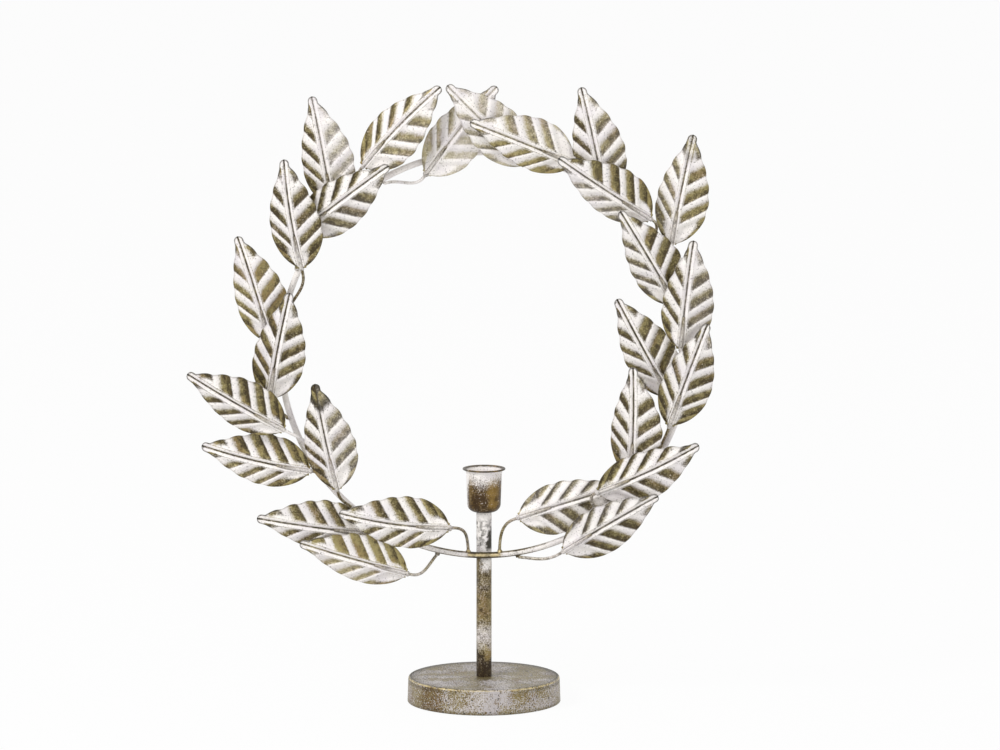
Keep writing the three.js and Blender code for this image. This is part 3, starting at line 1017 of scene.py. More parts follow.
@dataclass(frozen=True)
class Blade:
    """The stamped blade that all leaves share, in millimetres unless a share or a count.

    Attributes:
        length: Length along the midrib.
        width: Greatest width.
        skew: How much wider the half on the right is, with the tip up, as a share of the mean.
        sheet: Thickness of the sheet.
        arch: Rise of the middle over a straight line from base to tip.
        droop: Fall of the edges below the midrib.
        tab: Width of the square base.
        tip: Radius of the round tip.
        base_fullness: Power of the outline's rise from the base.
        tip_fullness: Power of its fall to the tip.
        first_vein: Share of the length where the first trough reaches the wide half's edge.
        last_vein: Share of the length where the last trough reaches it.
        vein_lead: Share of the length by which the veins run further on the narrow half.
        vein_pairs: Number of troughs on each half.
        slant: Angle between the midrib and a vein, in degrees.
        relief: Height of the veins from trough to ridge.
        scallop: How far the edge swings out at a trough.
        rib: Width of the midrib between the crests of its shoulders.
        rise: Height of the shoulders.
        groove: Depth of the groove between them.
        warp: Height of the small dents towards the edges.
        rows: Points along the blade.
        columns: Points across it.
    """

    length: float = 80
    width: float = 37
    skew: float = 0.125
    sheet: float = 0.8
    arch: float = 2.5
    droop: float = 1
    tab: float = 7
    tip: float = 3.4
    base_fullness: float = 0.65
    tip_fullness: float = 1.07
    first_vein: float = 0.265
    last_vein: float = 0.865
    vein_lead: float = 0.05
    vein_pairs: int = 5
    slant: float = 49
    relief: float = 1.6
    scallop: float = 0.4
    rib: float = 4.5
    rise: float = 1.3
    groove: float = 1.6
    warp: float = 1.2
    rows: int = 130
    columns: int = 49

    @property
    def fullest(self) -> float:
        """Greatest value of the outline's formula, by which it is scaled to the width."""
        belly = self.base_fullness / (self.base_fullness + self.tip_fullness)
        return belly**self.base_fullness * (1 - belly) ** self.tip_fullness

    def bend(self, leaf: Leaf, u: float, v: float, w: float) -> Vector:
        """Bends a point of the flat blade as the leaf is bent.

        Args:
            leaf: The leaf, for its sideways curve.
            u: Distance along the midrib.
            v: Distance across.
            w: Height over the sheet's middle.

        Returns:
            The bent point in the blade's own axes, in millimetres.
        """
        s = u / self.length
        swell = s * (1 - s)
        sideways = -math.radians(leaf.curve) * self.length / 2 * swell
        droop = self.droop * (2 * v / self.width) ** 2
        return Vector((u, v + sideways, w + 4 * self.arch * swell - droop))


class BladeShape(Shape):
    """Tree of a stamped leaf: a sheet with slanted veins and a grooved midrib."""

    CREASE = math.radians(50)
    MIDRIB_CROWDING = 1.7
    ROW_ROOM, ROW_SOFTNESS = 0.1, 4 * MM
    OUTLINE_SOFTNESS = 0.6 * MM
    VEIN_RISE, VEIN_FALL = 0.14, 0.08
    VEIN_SHARPNESS = 1.3
    RIB_ROOM = 0.65
    RIB_FADE_FROM, RIB_FADE = 0.6, 0.55
    SHOULDER_END = 2.7
    RELIEF_BY_RIB, RELIEF_BEYOND, RELIEF_END = 0.3, 0.7, 3.0
    EDGE_FROM, EDGE_LOSS = 0.6, 0.3
    DENT_SCALE, DENT_ACROSS = 3.0, 0.3
    WELD = 0.001 * MM

    def __init__(self, blade: Blade) -> None:
        """Builds the tree.

        Args:
            blade: Sizes that every leaf shares.
        """
        super().__init__("stamped_leaf")
        self.blade = blade
        self.length = self.number("Length")
        self.width = self.number("Width")
        skew = self.number("Skew")
        sheet = self.number("Sheet")
        arch = self.number("Arch")
        droop = self.number("Droop")
        sideways = self.number("Sideways")
        self.tab = self.number("Tab Width")
        self.tip = self.number("Tip Radius")
        relief = self.number("Vein Relief")
        scallop = self.number("Vein Scallop")
        rib = self.number("Rib Width")
        rise = self.number("Rib Rise")
        groove = self.number("Groove Depth")
        warp = self.number("Warp")
        seed = self.number("Seed")
        bared = self.number("Bare Left"), self.number("Bare Right")
        pale = self.number("Pale Left"), self.number("Pale Right")
        tone = self.number("Tone")
        bare_tip = self.number("Bare Tip")
        rows = self.number("Rows", whole=True)
        columns = self.number("Columns", whole=True)

        grid = self.call("GeometryNodeMeshGrid", {"Vertices X": rows, "Vertices Y": columns})
        x, y, _ = self.axes(self.call("GeometryNodeInputPosition", {}))
        station = x + 0.5
        side = y * 2
        share = self.math("ABSOLUTE", side) ** self.MIDRIB_CROWDING

        first, last = blade.first_vein, blade.last_vein
        beat = (station - first) * ((blade.vein_pairs - 1) / (last - first))
        veined = self.smoothstep(station, first - self.VEIN_RISE, first)
        veined = veined * (1 - self.smoothstep(station, last, last + self.VEIN_FALL))
        held = self.math("MINIMUM", self.math("MAXIMUM", beat, 0.0), blade.vein_pairs - 1.0)
        ridge = (0.5 - self.math("COSINE", held * (2 * math.pi)) * 0.5) ** self.VEIN_SHARPNESS
        vein = (ridge * 2 - 1) * veined

        edge = station * self.length
        sign = self.math("SIGN", side)
        ahead = self.math("MINIMUM", station / first, (1 - station) / (1 - last))
        ahead = self.math("MINIMUM", ahead, 1.0) * self.math("GREATER_THAN", side, 0.0)
        end = (station + ahead * blade.vein_lead) * self.length
        reach = self.half_width(end, 1 - sign * skew) - vein * scallop
        forward = self.half_width(edge, 1.0) / math.tan(math.radians(blade.slant))
        root = self.math("SMOOTH_MAX", edge - forward, edge * self.ROW_ROOM, self.ROW_SOFTNESS)
        root = self.math("MINIMUM", root, edge)
        u = self.mix(share, root, end)
        v = sign * share * reach

        s = u / self.length
        swell = s * (1 - s)
        rib_half = self.math("MINIMUM", rib * 0.5, reach * self.RIB_ROOM)
        offset = self.math("ABSOLUTE", v) / rib_half
        fade = 1 - self.smoothstep(s, self.RIB_FADE_FROM, 1.0) * self.RIB_FADE
        shoulder = (1 - self.smoothstep(offset, 1.0, self.SHOULDER_END)) * rise
        channel = self.math("COSINE", self.math("MINIMUM", offset, 1.0) * math.pi)
        channel = (channel * 0.5 + 0.5) * groove
        strength = self.smoothstep(offset, 0.0, 1.0) * self.RELIEF_BY_RIB
        strength = strength + self.smoothstep(offset, 1.0, self.RELIEF_END) * self.RELIEF_BEYOND
        strength = strength - self.smoothstep(share, self.EDGE_FROM, 1.0) * self.EDGE_LOSS
        sag = (v / (self.width * 0.5)) ** 2 * droop
        flat = self.call("ShaderNodeCombineXYZ", {"X": s, "Y": side * self.DENT_ACROSS})
        inputs = {"Vector": flat, "W": seed, "Scale": self.DENT_SCALE, "Detail": 1.0}
        dent = self.call("ShaderNodeTexNoise", inputs, noise_dimensions="4D")
        w = (shoulder - channel) * fade + vein * strength * relief * 0.5 + swell * 4 * arch - sag
        w = w + (dent - 0.5) * warp * share
        spot = self.call("ShaderNodeCombineXYZ", {"X": u, "Y": v + swell * sideways, "Z": w})

        right_half = self.math("LESS_THAN", side, 0.0)
        marks = {
            "beat": beat,
            "share": share,
            "across": v / MM,
            "bared": self.mix(right_half, *bared),
            "pale": self.mix(right_half, *pale),
            "tone": tone,
            "tip": bare_tip,
            "obverse": 1.0,
        }
        front = grid
        for name, value in marks.items():
            front = self.keep(front, name, value)
        front = self.call("GeometryNodeSetPosition", {"Geometry": front, "Position": spot})
        self.end(self.closed(front, sheet))

    def half_width(self, u: Field, fullness: Operand) -> Field:
        """Half the blade's width at a distance along it, with a square tab and a round tip.

        Args:
            u: Distance along the midrib.
            fullness: How many times the mean width this half is.

        Returns:
            Half the width there.
        """
        s = u / self.length
        rest = self.math("MAXIMUM", 1 - s, 0.0)
        outline = s**self.blade.base_fullness * rest**self.blade.tip_fullness
        outline = outline * self.width * fullness * (0.5 / self.blade.fullest)
        into_tip = self.math("MAXIMUM", self.tip - (self.length - u), 0.0)
        round_tip = self.math("MAXIMUM", self.tip * self.tip - into_tip * into_tip, 0.0)
        round_tip = self.math("SQRT", round_tip)
        least = self.mix(self.math("GREATER_THAN", s, 0.5), self.tab * 0.5, round_tip)
        return self.math("SMOOTH_MAX", outline, least, self.OUTLINE_SOFTNESS)

    def closed(self, front: Field, thickness: Field) -> Field:
        """Gives the sheet its thickness and closes it.

        Args:
            front: The front of the sheet, with its faces pointing out.
            thickness: The sheet's thickness.

        Returns:
            A closed mesh with the attribute obverse at 1 on its front and 0 on its back.
        """
        up = self.call("ShaderNodeCombineXYZ", {"Z": thickness * 0.5})
        raised = self.call("GeometryNodeSetPosition", {"Geometry": front, "Offset": up})
        down = self.call("ShaderNodeCombineXYZ", {"Z": -1.0})
        inputs = {"Mesh": raised, "Offset": down, "Offset Scale": thickness, "Individual": False}
        pushed = self.node("GeometryNodeExtrudeMesh")
        for name, value in inputs.items():
            self.feed(pushed.inputs[name], value)
        mesh, far = (Field(self, pushed.outputs[name]) for name in ("Mesh", "Top"))
        back = self.keep(mesh, "obverse", 0.0, far)
        back = self.call("GeometryNodeFlipFaces", {"Mesh": back})
        inputs = {"Geometry": self.join(raised, back), "Distance": self.WELD}
        shell = self.call("GeometryNodeMergeByDistance", inputs)
        return self.smooth(shell, self.CREASE)


class WireShape(Shape):
    """Tree of a round wire along a line of points, thicker at its brazed foot, thin at its end."""

    def __init__(self) -> None:
        """Builds the tree."""
        super().__init__("round_wire")
        diameter = self.number("Diameter")
        sides = self.number("Sides", whole=True)
        steps = self.number("Steps", whole=True)
        swell = self.number("Swell")
        reach = self.number("Swell Reach")
        tuck = self.number("Tuck")
        taper = self.number("Taper")
        least = self.number("Least Share")
        wash = self.number("Wash")
        line = self.call("GeometryNodeMeshToCurve", {"Mesh": self.given()})
        line = self.call("GeometryNodeCurveSplineType", {"Curve": line}, spline_type="CATMULL_ROM")
        line = self.call("GeometryNodeResampleCurve", {"Curve": line, "Count": steps})
        gone = self.call("GeometryNodeSplineParameter", {}, output=1)
        total = self.call("GeometryNodeSplineLength", {})
        thick = (1 - self.smoothstep(gone, 0.0, reach)) * swell + 1
        thick = thick * self.mix(self.smoothstep(total - gone, 0.0, taper), least, 1.0)
        line = self.call("GeometryNodeSetCurveRadius", {"Curve": line, "Radius": thick})
        line = self.keep(line, "inset", (total - gone) / tuck)
        line = self.keep(line, "washed", wash)
        self.end(self.smooth(self.tube(line, diameter, sides, True), ROUND_CREASE))


class HoopShape(Shape):
    """Tree of a rod bent to a ring."""

    def __init__(self) -> None:
        """Builds the tree."""
        super().__init__("rod_hoop")
        radius = self.number("Ring Radius")
        diameter = self.number("Rod Diameter")
        steps = self.number("Steps", whole=True)
        sides = self.number("Sides", whole=True)
        rod = self.tube(self.circle(steps, radius), diameter, sides, False)
        x, y, _ = self.axes(self.call("GeometryNodeInputPosition", {}))
        outer = (self.math("SQRT", x * x + y * y) - radius) / (diameter * 0.5)
        self.end(self.smooth(self.keep(rod, "outer", outer), ROUND_CREASE))


class BeadShape(Shape):
    """Tree of lumps of braze, one at each point of a mesh."""

    CREASE = math.radians(80)
    BALL_DIVISIONS = 3
    LUMP_SCALE, LEAST_LUMP = 1.3, 0.5
    MOST_TURN = (6.0, 6.0, 6.0)

    def __init__(self) -> None:
        """Builds the tree."""
        super().__init__("braze_beads")
        size = self.number("Size")
        spread = self.number("Spread")
        seed = self.number("Seed", whole=True)
        inputs = {"Radius": 1.0, "Subdivisions": self.BALL_DIVISIONS}
        ball = self.call("GeometryNodeMeshIcoSphere", inputs)
        lump = self.call("ShaderNodeTexNoise", {"Scale": self.LUMP_SCALE, "Detail": 1.0})
        spot = self.call("GeometryNodeInputPosition", {})
        inputs = {"Vector": spot, "Scale": lump + self.LEAST_LUMP}
        grown = self.call("ShaderNodeVectorMath", inputs, operation="SCALE")
        ball = self.call("GeometryNodeSetPosition", {"Geometry": ball, "Position": grown})
        ball = self.keep(ball, "braze", 1.0)
        draw = "FunctionNodeRandomValue"
        inputs = {"Min": size * (1 - spread), "Max": size * (1 + spread), "Seed": seed}
        scale = self.call(draw, inputs, output=1, data_type="FLOAT")
        inputs = {"Min": (0.0, 0.0, 0.0), "Max": self.MOST_TURN, "Seed": seed}
        turn = self.call(draw, inputs, data_type="FLOAT_VECTOR")
        inputs = {"Points": self.given(), "Instance": ball, "Rotation": turn, "Scale": scale}
        beads = self.call("GeometryNodeInstanceOnPoints", inputs)
        self.end(self.smooth(beads, self.CREASE))


def line_mesh(name: str, points: list[Vector]) -> bpy.types.Mesh:
    """A mesh of points joined into one line, in metres.

    Args:
        name: The mesh's name.
        points: The points in order.

    Returns:
        The mesh.
    """
    mesh = bpy.data.meshes.new(name)
    edges = [(i, i + 1) for i in range(len(points) - 1)]
    mesh.from_pydata([tuple(point) for point in points], edges, [])
    return mesh


@dataclass
class Wreath:
    """The ring with its two branches of leaves, in millimetres unless it says so.

    Attributes:
        rod: Diameter of the ring's rod.
        stalk: Diameter of a stalk.
        tuck: How far a stalk lies in its blade's groove.
        taper: Length over which a stalk thins out to its end there.
        least: Thickness of that end as a share of the stalk's.
        swell: How much thicker a stalk is at its brazed foot, as a share.
        swell_reach: How far up that goes.
        lead: How far a stalk runs straight before its blade.
        sweep: Share of a stalk's span over which it keeps the direction of each end.
        bead: Mean radius of a lump of braze.
        bead_spread: How much that varies either way, as a share.
        bead_place: Where on the lead the blade's lump lies, as a share of it.
        blade: The stamped blade.
    """

    rod: float = 4.5
    stalk: float = 2.2
    tuck: float = 24
    taper: float = 10
    least: float = 0.3
    swell: float = 0.2
    swell_reach: float = 3
    lead: float = 2.5
    sweep: float = 0.4
    bead: float = 1.75
    bead_spread: float = 0.2
    bead_place: float = 0.8
    blade: Blade = Blade()

    SWEEP_POINTS = 8
    TUCK_POINTS = 8
    RING_STEPS, ROD_SIDES = 240, 20
    STALK_STEPS, STALK_SIDES = 60, 14
    SEED_STEP, BEAD_SEED = 7, 5

    def __post_init__(self) -> None:
        """Takes the ring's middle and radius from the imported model."""
        low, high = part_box("wreath_ring")
        self.middle = (low + high) / 2
        self.radius = (high.z - low.z) / 2 / MM - self.rod / 2
        self.joints: list[Vector] = []

    def axes(self, hand: Hand, degrees: float) -> tuple[Vector, Vector]:
        """Axes of the ring at an angle counted up one side from the stem.

        Args:
            hand: The side.
            degrees: The angle.

        Returns:
            The direction along the ring and the direction out of it.
        """
        angle = math.radians(degrees)
        tangent = Vector((hand.value * math.cos(angle), 0, math.sin(angle)))
        outward = Vector((hand.value * math.sin(angle), 0, -math.cos(angle)))
        return tangent, outward

    def blade_matrix(self, hand: Hand, leaf: Leaf) -> Matrix:
        """Place and turn of a blade about the ring's middle, in millimetres.

        Args:
            hand: The branch's side.
            leaf: The leaf.

        Returns:
            The matrix from the blade's axes.
        """
        tangent, outward = self.axes(hand, leaf.at)
        splay = math.radians(leaf.splay)
        along = tangent * math.cos(splay) + outward * math.sin(splay)
        across = FRONT.cross(along)
        along = Matrix.Rotation(-math.radians(leaf.pitch), 3, across) @ along
        across = Matrix.Rotation(math.radians(leaf.roll), 3, along) @ across
        face = along.cross(across)
        base = outward * (self.radius + leaf.out) + FRONT * leaf.lift
        turn = Matrix((along, across, face)).transposed().to_4x4()
        return Matrix.Translation(base) @ turn

    def to_frame(self) -> Matrix:
        """From millimetres about the ring's middle to the frame."""
        return Matrix.Translation(self.middle) @ Matrix.Scale(MM, 4)

    def in_groove(self, hand: Hand, leaf: Leaf, u: float) -> Vector:
        """Middle of a stalk where it lies in its blade's groove.

        Args:
            hand: The branch's side.
            leaf: The leaf.
            u: Distance along the blade.

        Returns:
            The point about the ring's middle, in millimetres.
        """
        blade = self.blade
        flank = math.hypot(blade.rib / 2, blade.groove) / (blade.rib / 2)
        end = min(max((self.tuck - u) / self.taper, 0), 1)
        thick = self.least + (1 - self.least) * end * end * (3 - 2 * end)
        seat = blade.rise - blade.groove + blade.sheet / 2 + self.stalk / 2 * flank * thick
        return self.blade_matrix(hand, leaf) @ blade.bend(leaf, u, 0, seat)

    def stalk_points(self, hand: Hand, leaf: Leaf) -> list[Vector]:
        """Line of a stalk from its foot on the rod to its end in the groove.

        Args:
            hand: The branch's side.
            leaf: The leaf.

        Returns:
            Points in the frame, in metres.
        """
        tangent, outward = self.axes(hand, leaf.foot)
        side = math.radians(leaf.side)
        lean = math.radians(leaf.lean)
        meets = FRONT * math.cos(side) + outward * math.sin(side)
        leaves = meets * math.cos(lean) + tangent * math.sin(lean)
        stand = self.rod / 2 + self.stalk / 2 * math.sin(lean)
        start = outward * self.radius + meets * stand
        end = self.in_groove(hand, leaf, -self.lead)
        arrives = (self.in_groove(hand, leaf, 0) - end).normalized()
        handle = (end - start).length * self.sweep
        corners = (start, start + leaves * handle, end - arrives * handle, end)
        points = []
        for i in range(self.SWEEP_POINTS + 1):
            t = i / self.SWEEP_POINTS
            weights = ((1 - t) ** 3, 3 * t * (1 - t) ** 2, 3 * t**2 * (1 - t), t**3)
            pulls = (corner * weight for corner, weight in zip(corners, weights))
            points.append(sum(pulls, Vector()))
        for i in range(self.TUCK_POINTS + 1):
            points.append(self.in_groove(hand, leaf, self.tuck * i / self.TUCK_POINTS))
        frame_matrix = self.to_frame()
        self.joints.append(frame_matrix @ (outward * self.radius + meets * (self.rod / 2)))
        base = points[self.SWEEP_POINTS + 1]
        self.joints.append(frame_matrix @ end.lerp(base, self.bead_place))
        return [frame_matrix @ point for point in points]

    def build(self, leaf_finish: Finish, wire_finish: Finish, rod_finish: Finish) -> None:
        """Builds the ring, the leaves, the stalks and the braze.

        Args:
            leaf_finish: Finish of the blades.
            wire_finish: Finish of the stalks.
            rod_finish: Finish of the ring and the braze.
        """
        self.build_ring(rod_finish)
        blades = BladeShape(self.blade)
        wires = WireShape()
        branches = ((Hand.LEFT, LEFT_LEAVES, LEFT_WEAR), (Hand.RIGHT, RIGHT_LEAVES, RIGHT_WEAR))
        for hand, leaves, wears in branches:
            for number, (leaf, wear) in enumerate(zip(leaves, wears), start=1):
                label = f"{hand.word}_{number:02d}"
                self.build_blade(blades, hand, leaf, wear, label, leaf_finish)
                self.build_stalk(wires, hand, leaf, wear, label, wire_finish)
        self.build_beads(rod_finish)

    def build_ring(self, finish: Finish) -> None:
        """Builds the rod bent to a ring.

        Args:
            finish: Its finish.
        """
        values = {
            "Ring Radius": self.radius * MM,
            "Rod Diameter": self.rod * MM,
            "Steps": self.RING_STEPS,
            "Sides": self.ROD_SIDES,
            "Material": finish,
        }
        ring = HoopShape().make("ring_rod", values)
        upright = Matrix.Rotation(math.pi / 2, 4, "X")
        ring.data.transform(Matrix.Translation(self.middle) @ upright)
        settle(ring, Slot.ROD, "wreath_ring")

    def build_blade(
        self, shape: BladeShape, hand: Hand, leaf: Leaf, wear: Wear, label: str, finish: Finish
    ) -> None:
        """Builds one stamped blade.

        Args:
            shape: The blade's tree.
            hand: The branch's side.
            leaf: The leaf.
            wear: Where its wash was rubbed off.
            label: The end of its names. Its number on the branch seeds the small dents.
            finish: Its finish.
        """
        blade = self.blade
        sizes = {
            "Length": blade.length,
            "Width": blade.width,
            "Sheet": blade.sheet,
            "Arch": blade.arch,
            "Droop": blade.droop,
            "Sideways": -math.radians(leaf.curve) * blade.length / 2,
            "Tab Width": blade.tab,
            "Tip Radius": blade.tip,
            "Vein Relief": blade.relief,
            "Vein Scallop": blade.scallop,
            "Rib Width": blade.rib,
            "Rib Rise": blade.rise,
            "Groove Depth": blade.groove,
            "Warp": blade.warp,
        }
        wears = {
            "Bare Left": wear.left,
            "Bare Right": wear.right,
            "Pale Left": wear.pale_left,
            "Pale Right": wear.pale_right,
            "Tone": wear.tone,
            "Bare Tip": wear.tip,
        }
        values: dict[str, object] = {name: size * MM for name, size in sizes.items()}
        values.update((name, float(share)) for name, share in wears.items())
        values["Skew"] = blade.skew
        values["Seed"] = float(int(label[-2:]) * self.SEED_STEP + hand.value)
        values["Rows"] = blade.rows
        values["Columns"] = blade.columns
        values["Material"] = finish
        piece = shape.make(f"blade_{label}", values)
        turn = self.blade_matrix(hand, leaf)
        turn.translation *= MM
        piece.data.transform(Matrix.Translation(self.middle) @ turn)
        settle(piece, Slot.LEAF, f"{hand.word}_leaf_{label[-2:]}")

    def build_stalk(
        self, shape: WireShape, hand: Hand, leaf: Leaf, wear: Wear, label: str, finish: Finish
    ) -> None:
        """Builds one stalk.

        Args:
            shape: The wire's tree.
            hand: The branch's side.
            leaf: The leaf that it carries.
            wear: How much of its wash is left.
            label: The end of its names.
            finish: Its finish.
        """
        values = {
            "Diameter": self.stalk * MM,
            "Sides": self.STALK_SIDES,
            "Steps": self.STALK_STEPS,
            "Swell": self.swell,
            "Swell Reach": self.swell_reach * MM,
            "Tuck": self.tuck * MM,
            "Taper": self.taper * MM,
            "Least Share": self.least,
            "Wash": float(wear.stalk),
            "Material": finish,
        }
        line = line_mesh(f"stalk_line_{label}", self.stalk_points(hand, leaf))
        piece = shape.make(f"stalk_wire_{label}", values, line)
        settle(piece, Slot.WIRE, f"{hand.word}_stalk_{label[-2:]}")

    def build_beads(self, finish: Finish) -> None:
        """Builds the lumps of braze where stalks meet the rod and their blades.

        Args:
            finish: Their finish.
        """
        points = bpy.data.meshes.new("braze_points")
        points.from_pydata([tuple(point) for point in self.joints], [], [])
        values = {
            "Size": self.bead * MM,
            "Spread": self.bead_spread,
            "Seed": self.BEAD_SEED,
            "Material": finish,
        }
        beads = BeadShape().make("braze_beads", values, points)
        settle(beads, Slot.WIRE)


def settle(piece: bpy.types.Object, slot: Slot, *nodes: str) -> None:
    """Ties a finished piece to the model.

    Args:
        piece: The piece, with its place in its mesh.
        slot: The slot that its finish belongs to. Not used.
        nodes: The nodes that it stands for.
    """
    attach(piece, BODY)
    if nodes:
        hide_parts(*nodes)
    stands_for = ", ".join(nodes) or "nothing"
    LOG.info("%s: %d faces, stands for %s", piece.name, len(piece.data.polygons), stands_for)


# Turned pieces


@dataclass(frozen=True)
class Turn:
    """One point of a turned piece's profile, in millimetres.

    Attributes:
        radius: Distance from the axis.
        height: Height over the floor.
        worn: How much hands rub it, from 0 to 1.
        inner: 1 inside the piece, where no hand reaches.
    """

    radius: float
    height: float
    worn: float = 0
    inner: float = 0


def arc(
    centre: tuple[float, float],
    radius: float,
    start: float,
    end: float,
    steps: int,
    worn: float = 0,
) -> list[Turn]:
    """Points on a round stretch of a profile.

    Args:
        centre: Radius and height of the arc's middle.
        radius: The arc's radius.
        start: Angle of its first point in degrees: 0 points away from the axis, 90 up.
        end: Angle of its last point.
        steps: Number of stretches.
        worn: How much hands rub it.

    Returns:
        The points.
    """
    made = []
    for i in range(steps + 1):
        angle = math.radians(start + (end - start) * i / steps)
        across, up = radius * math.cos(angle), radius * math.sin(angle)
        made.append(Turn(centre[0] + across, centre[1] + up, worn))
    return made


def turned(
    name: str, profile: list[Turn], segments: int, ring: bool, finish: Finish
) -> bpy.types.Object:
    """Turns a profile about the vertical axis.

    Args:
        name: The piece's name.
        profile: Its points, up the outside first.
        segments: Number of steps round.
        ring: Whether the profile closes on itself, and doesn't start and end on the axis.
        finish: The material.

    Returns:
        The piece, with the attributes worn and inner on its points.
    """
    points: list[tuple[float, float, float]] = []
    marks: dict[str, list[float]] = {"worn": [], "inner": []}
    rows: list[list[int]] = []
    for turn in profile:
        count = 1 if turn.radius == 0 else segments
        rows.append([len(points) + i % count for i in range(segments)])
        for i in range(count):
            angle = 2 * math.pi * i / segments
            x = turn.radius * MM * math.cos(angle)
            y = turn.radius * MM * math.sin(angle)
            points.append((x, y, turn.height * MM))
            marks["worn"].append(turn.worn)
            marks["inner"].append(turn.inner)
    faces = []
    for low, high in zip(rows, rows[1:] + rows[:1] if ring else rows[1:]):
        for i in range(segments):
            k = (i + 1) % segments
            corners = [low[i], low[k], high[k], high[i]]
            faces.append(list(dict.fromkeys(corners)))
    mesh = bpy.data.meshes.new(name)
    mesh.from_pydata(points, [], faces)
    for mark, values in marks.items():
        mesh.attributes.new(mark, "FLOAT", "POINT").data.foreach_set("value", values)
    mesh.shade_smooth()
    mesh.set_sharp_from_angle(angle=TURNED_CREASE)
    mesh.materials.append(finish)
    piece = bpy.data.objects.new(name, mesh)
    bpy.context.scene.collection.objects.link(piece)
    return piece


@dataclass
class Foot:
    """The weighted foot, in millimetres.

    Attributes:
        draft: How far its side leans in.
        edge: Radius of its top edge.
        flat: Width of the smooth border inside of that edge.
        lip: Radius of its lower edge.
        wall: Thickness of its shell.
        rim: Height of the shell's lower rim over the floor.
        pad: Thickness of the felt.
        pad_edge: Radius of the felt's edges.
        hole: Radius of the stem's hole.
        dents: Height of the waves that spinning left in the top.
        sink: How far the waves lie below the flat on the whole, as a share of their height.
    """

    draft: float = 0.6
    edge: float = 1.5
    flat: float = 1
    lip: float = 0.4
    wall: float = 1.2
    rim: float = 0.5
    pad: float = 1.5
    pad_edge: float = 0.5
    hole: float = 5.6
    dents: float = 0.35
    sink: float = 0.6

    SEGMENTS = 160
    TOP_RINGS = 24
    # Stretches of the top edge: first and last angle, number of steps and wear
    EDGE_RUNS = ((0, 12, 3, 0), (24, 70, 6, 1), (80, 90, 2, 0))
    # Waves per metre, with their share of the height
    WAVES = ((45, 1.0), (110, 0.5))
    # Where the waves end and over what width they fade, from the foot's side and from its axis
    SIDE_ROOM, SIDE_FADE = 6, 12
    STEM_ROOM, STEM_FADE = 7, 8
    LEVEL = 0.01

    def __post_init__(self) -> None:
        """Takes the foot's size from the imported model."""
        low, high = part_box("base_shell")
        self.height = high.z / MM
        self.radius = (high.x - low.x) / 2 / MM
        self.pad_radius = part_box("base_pad")[1].x / MM

    def build(self, shell_finish: Finish, felt_finish: Finish) -> None:
        """Builds the shell and the felt.

        Args:
            shell_finish: Finish of the shell.
            felt_finish: Finish of the felt.
        """
        top_radius = self.radius - self.draft
        profile = arc((self.radius - self.lip, self.rim + self.lip), self.lip, -90, 0, 4)
        edge = (top_radius - self.edge, self.height - self.edge)
        for start, end, steps, worn in self.EDGE_RUNS:
            profile += arc(edge, self.edge, start, end, steps, worn)
        inner = top_radius - self.edge - self.flat
        for i in range(self.TOP_RINGS + 1):
            across = inner + (self.hole - inner) * i / self.TOP_RINGS
            profile.append(Turn(across, self.height))
        profile.append(Turn(self.hole, self.height - self.wall))
        profile.append(Turn(top_radius - self.wall, self.height - self.wall))
        profile.append(Turn(self.radius - self.wall, self.rim))
        shell = turned("foot_shell", profile, self.SEGMENTS, True, shell_finish)
        self.dent(shell.data)
        settle(shell, Slot.FOOT, "base_shell")
        soft = self.pad_edge
        felt = [Turn(0, 0)]
        felt += arc((self.pad_radius - soft, soft), soft, -90, 0, 3)
        felt += arc((self.pad_radius - soft, self.pad - soft), soft, 0, 90, 3)
        felt.append(Turn(0, self.pad))
        pad = turned("felt_pad", felt, self.SEGMENTS, False, felt_finish)
        settle(pad, Slot.FELT, "base_pad")

    def dent(self, mesh: bpy.types.Mesh) -> None:
        """Gives the top the shallow waves of hand work, none at its edge and at the stem.

        Args:
            mesh: The shell's mesh.
        """
        level = (self.height - self.LEVEL) * MM
        for vertex in mesh.vertices:
            if vertex.co.z < level:
                continue
            radius = math.hypot(vertex.co.x, vertex.co.y) / MM
            from_side = (self.radius - self.SIDE_ROOM - radius) / self.SIDE_FADE
            from_stem = (radius - self.STEM_ROOM) / self.STEM_FADE
            share = max(0.0, min(1.0, from_side, from_stem))
            wave = sum(part * noise.noise(vertex.co * count) for count, part in self.WAVES)
            vertex.co.z += (wave - self.sink) * self.dents * share * MM


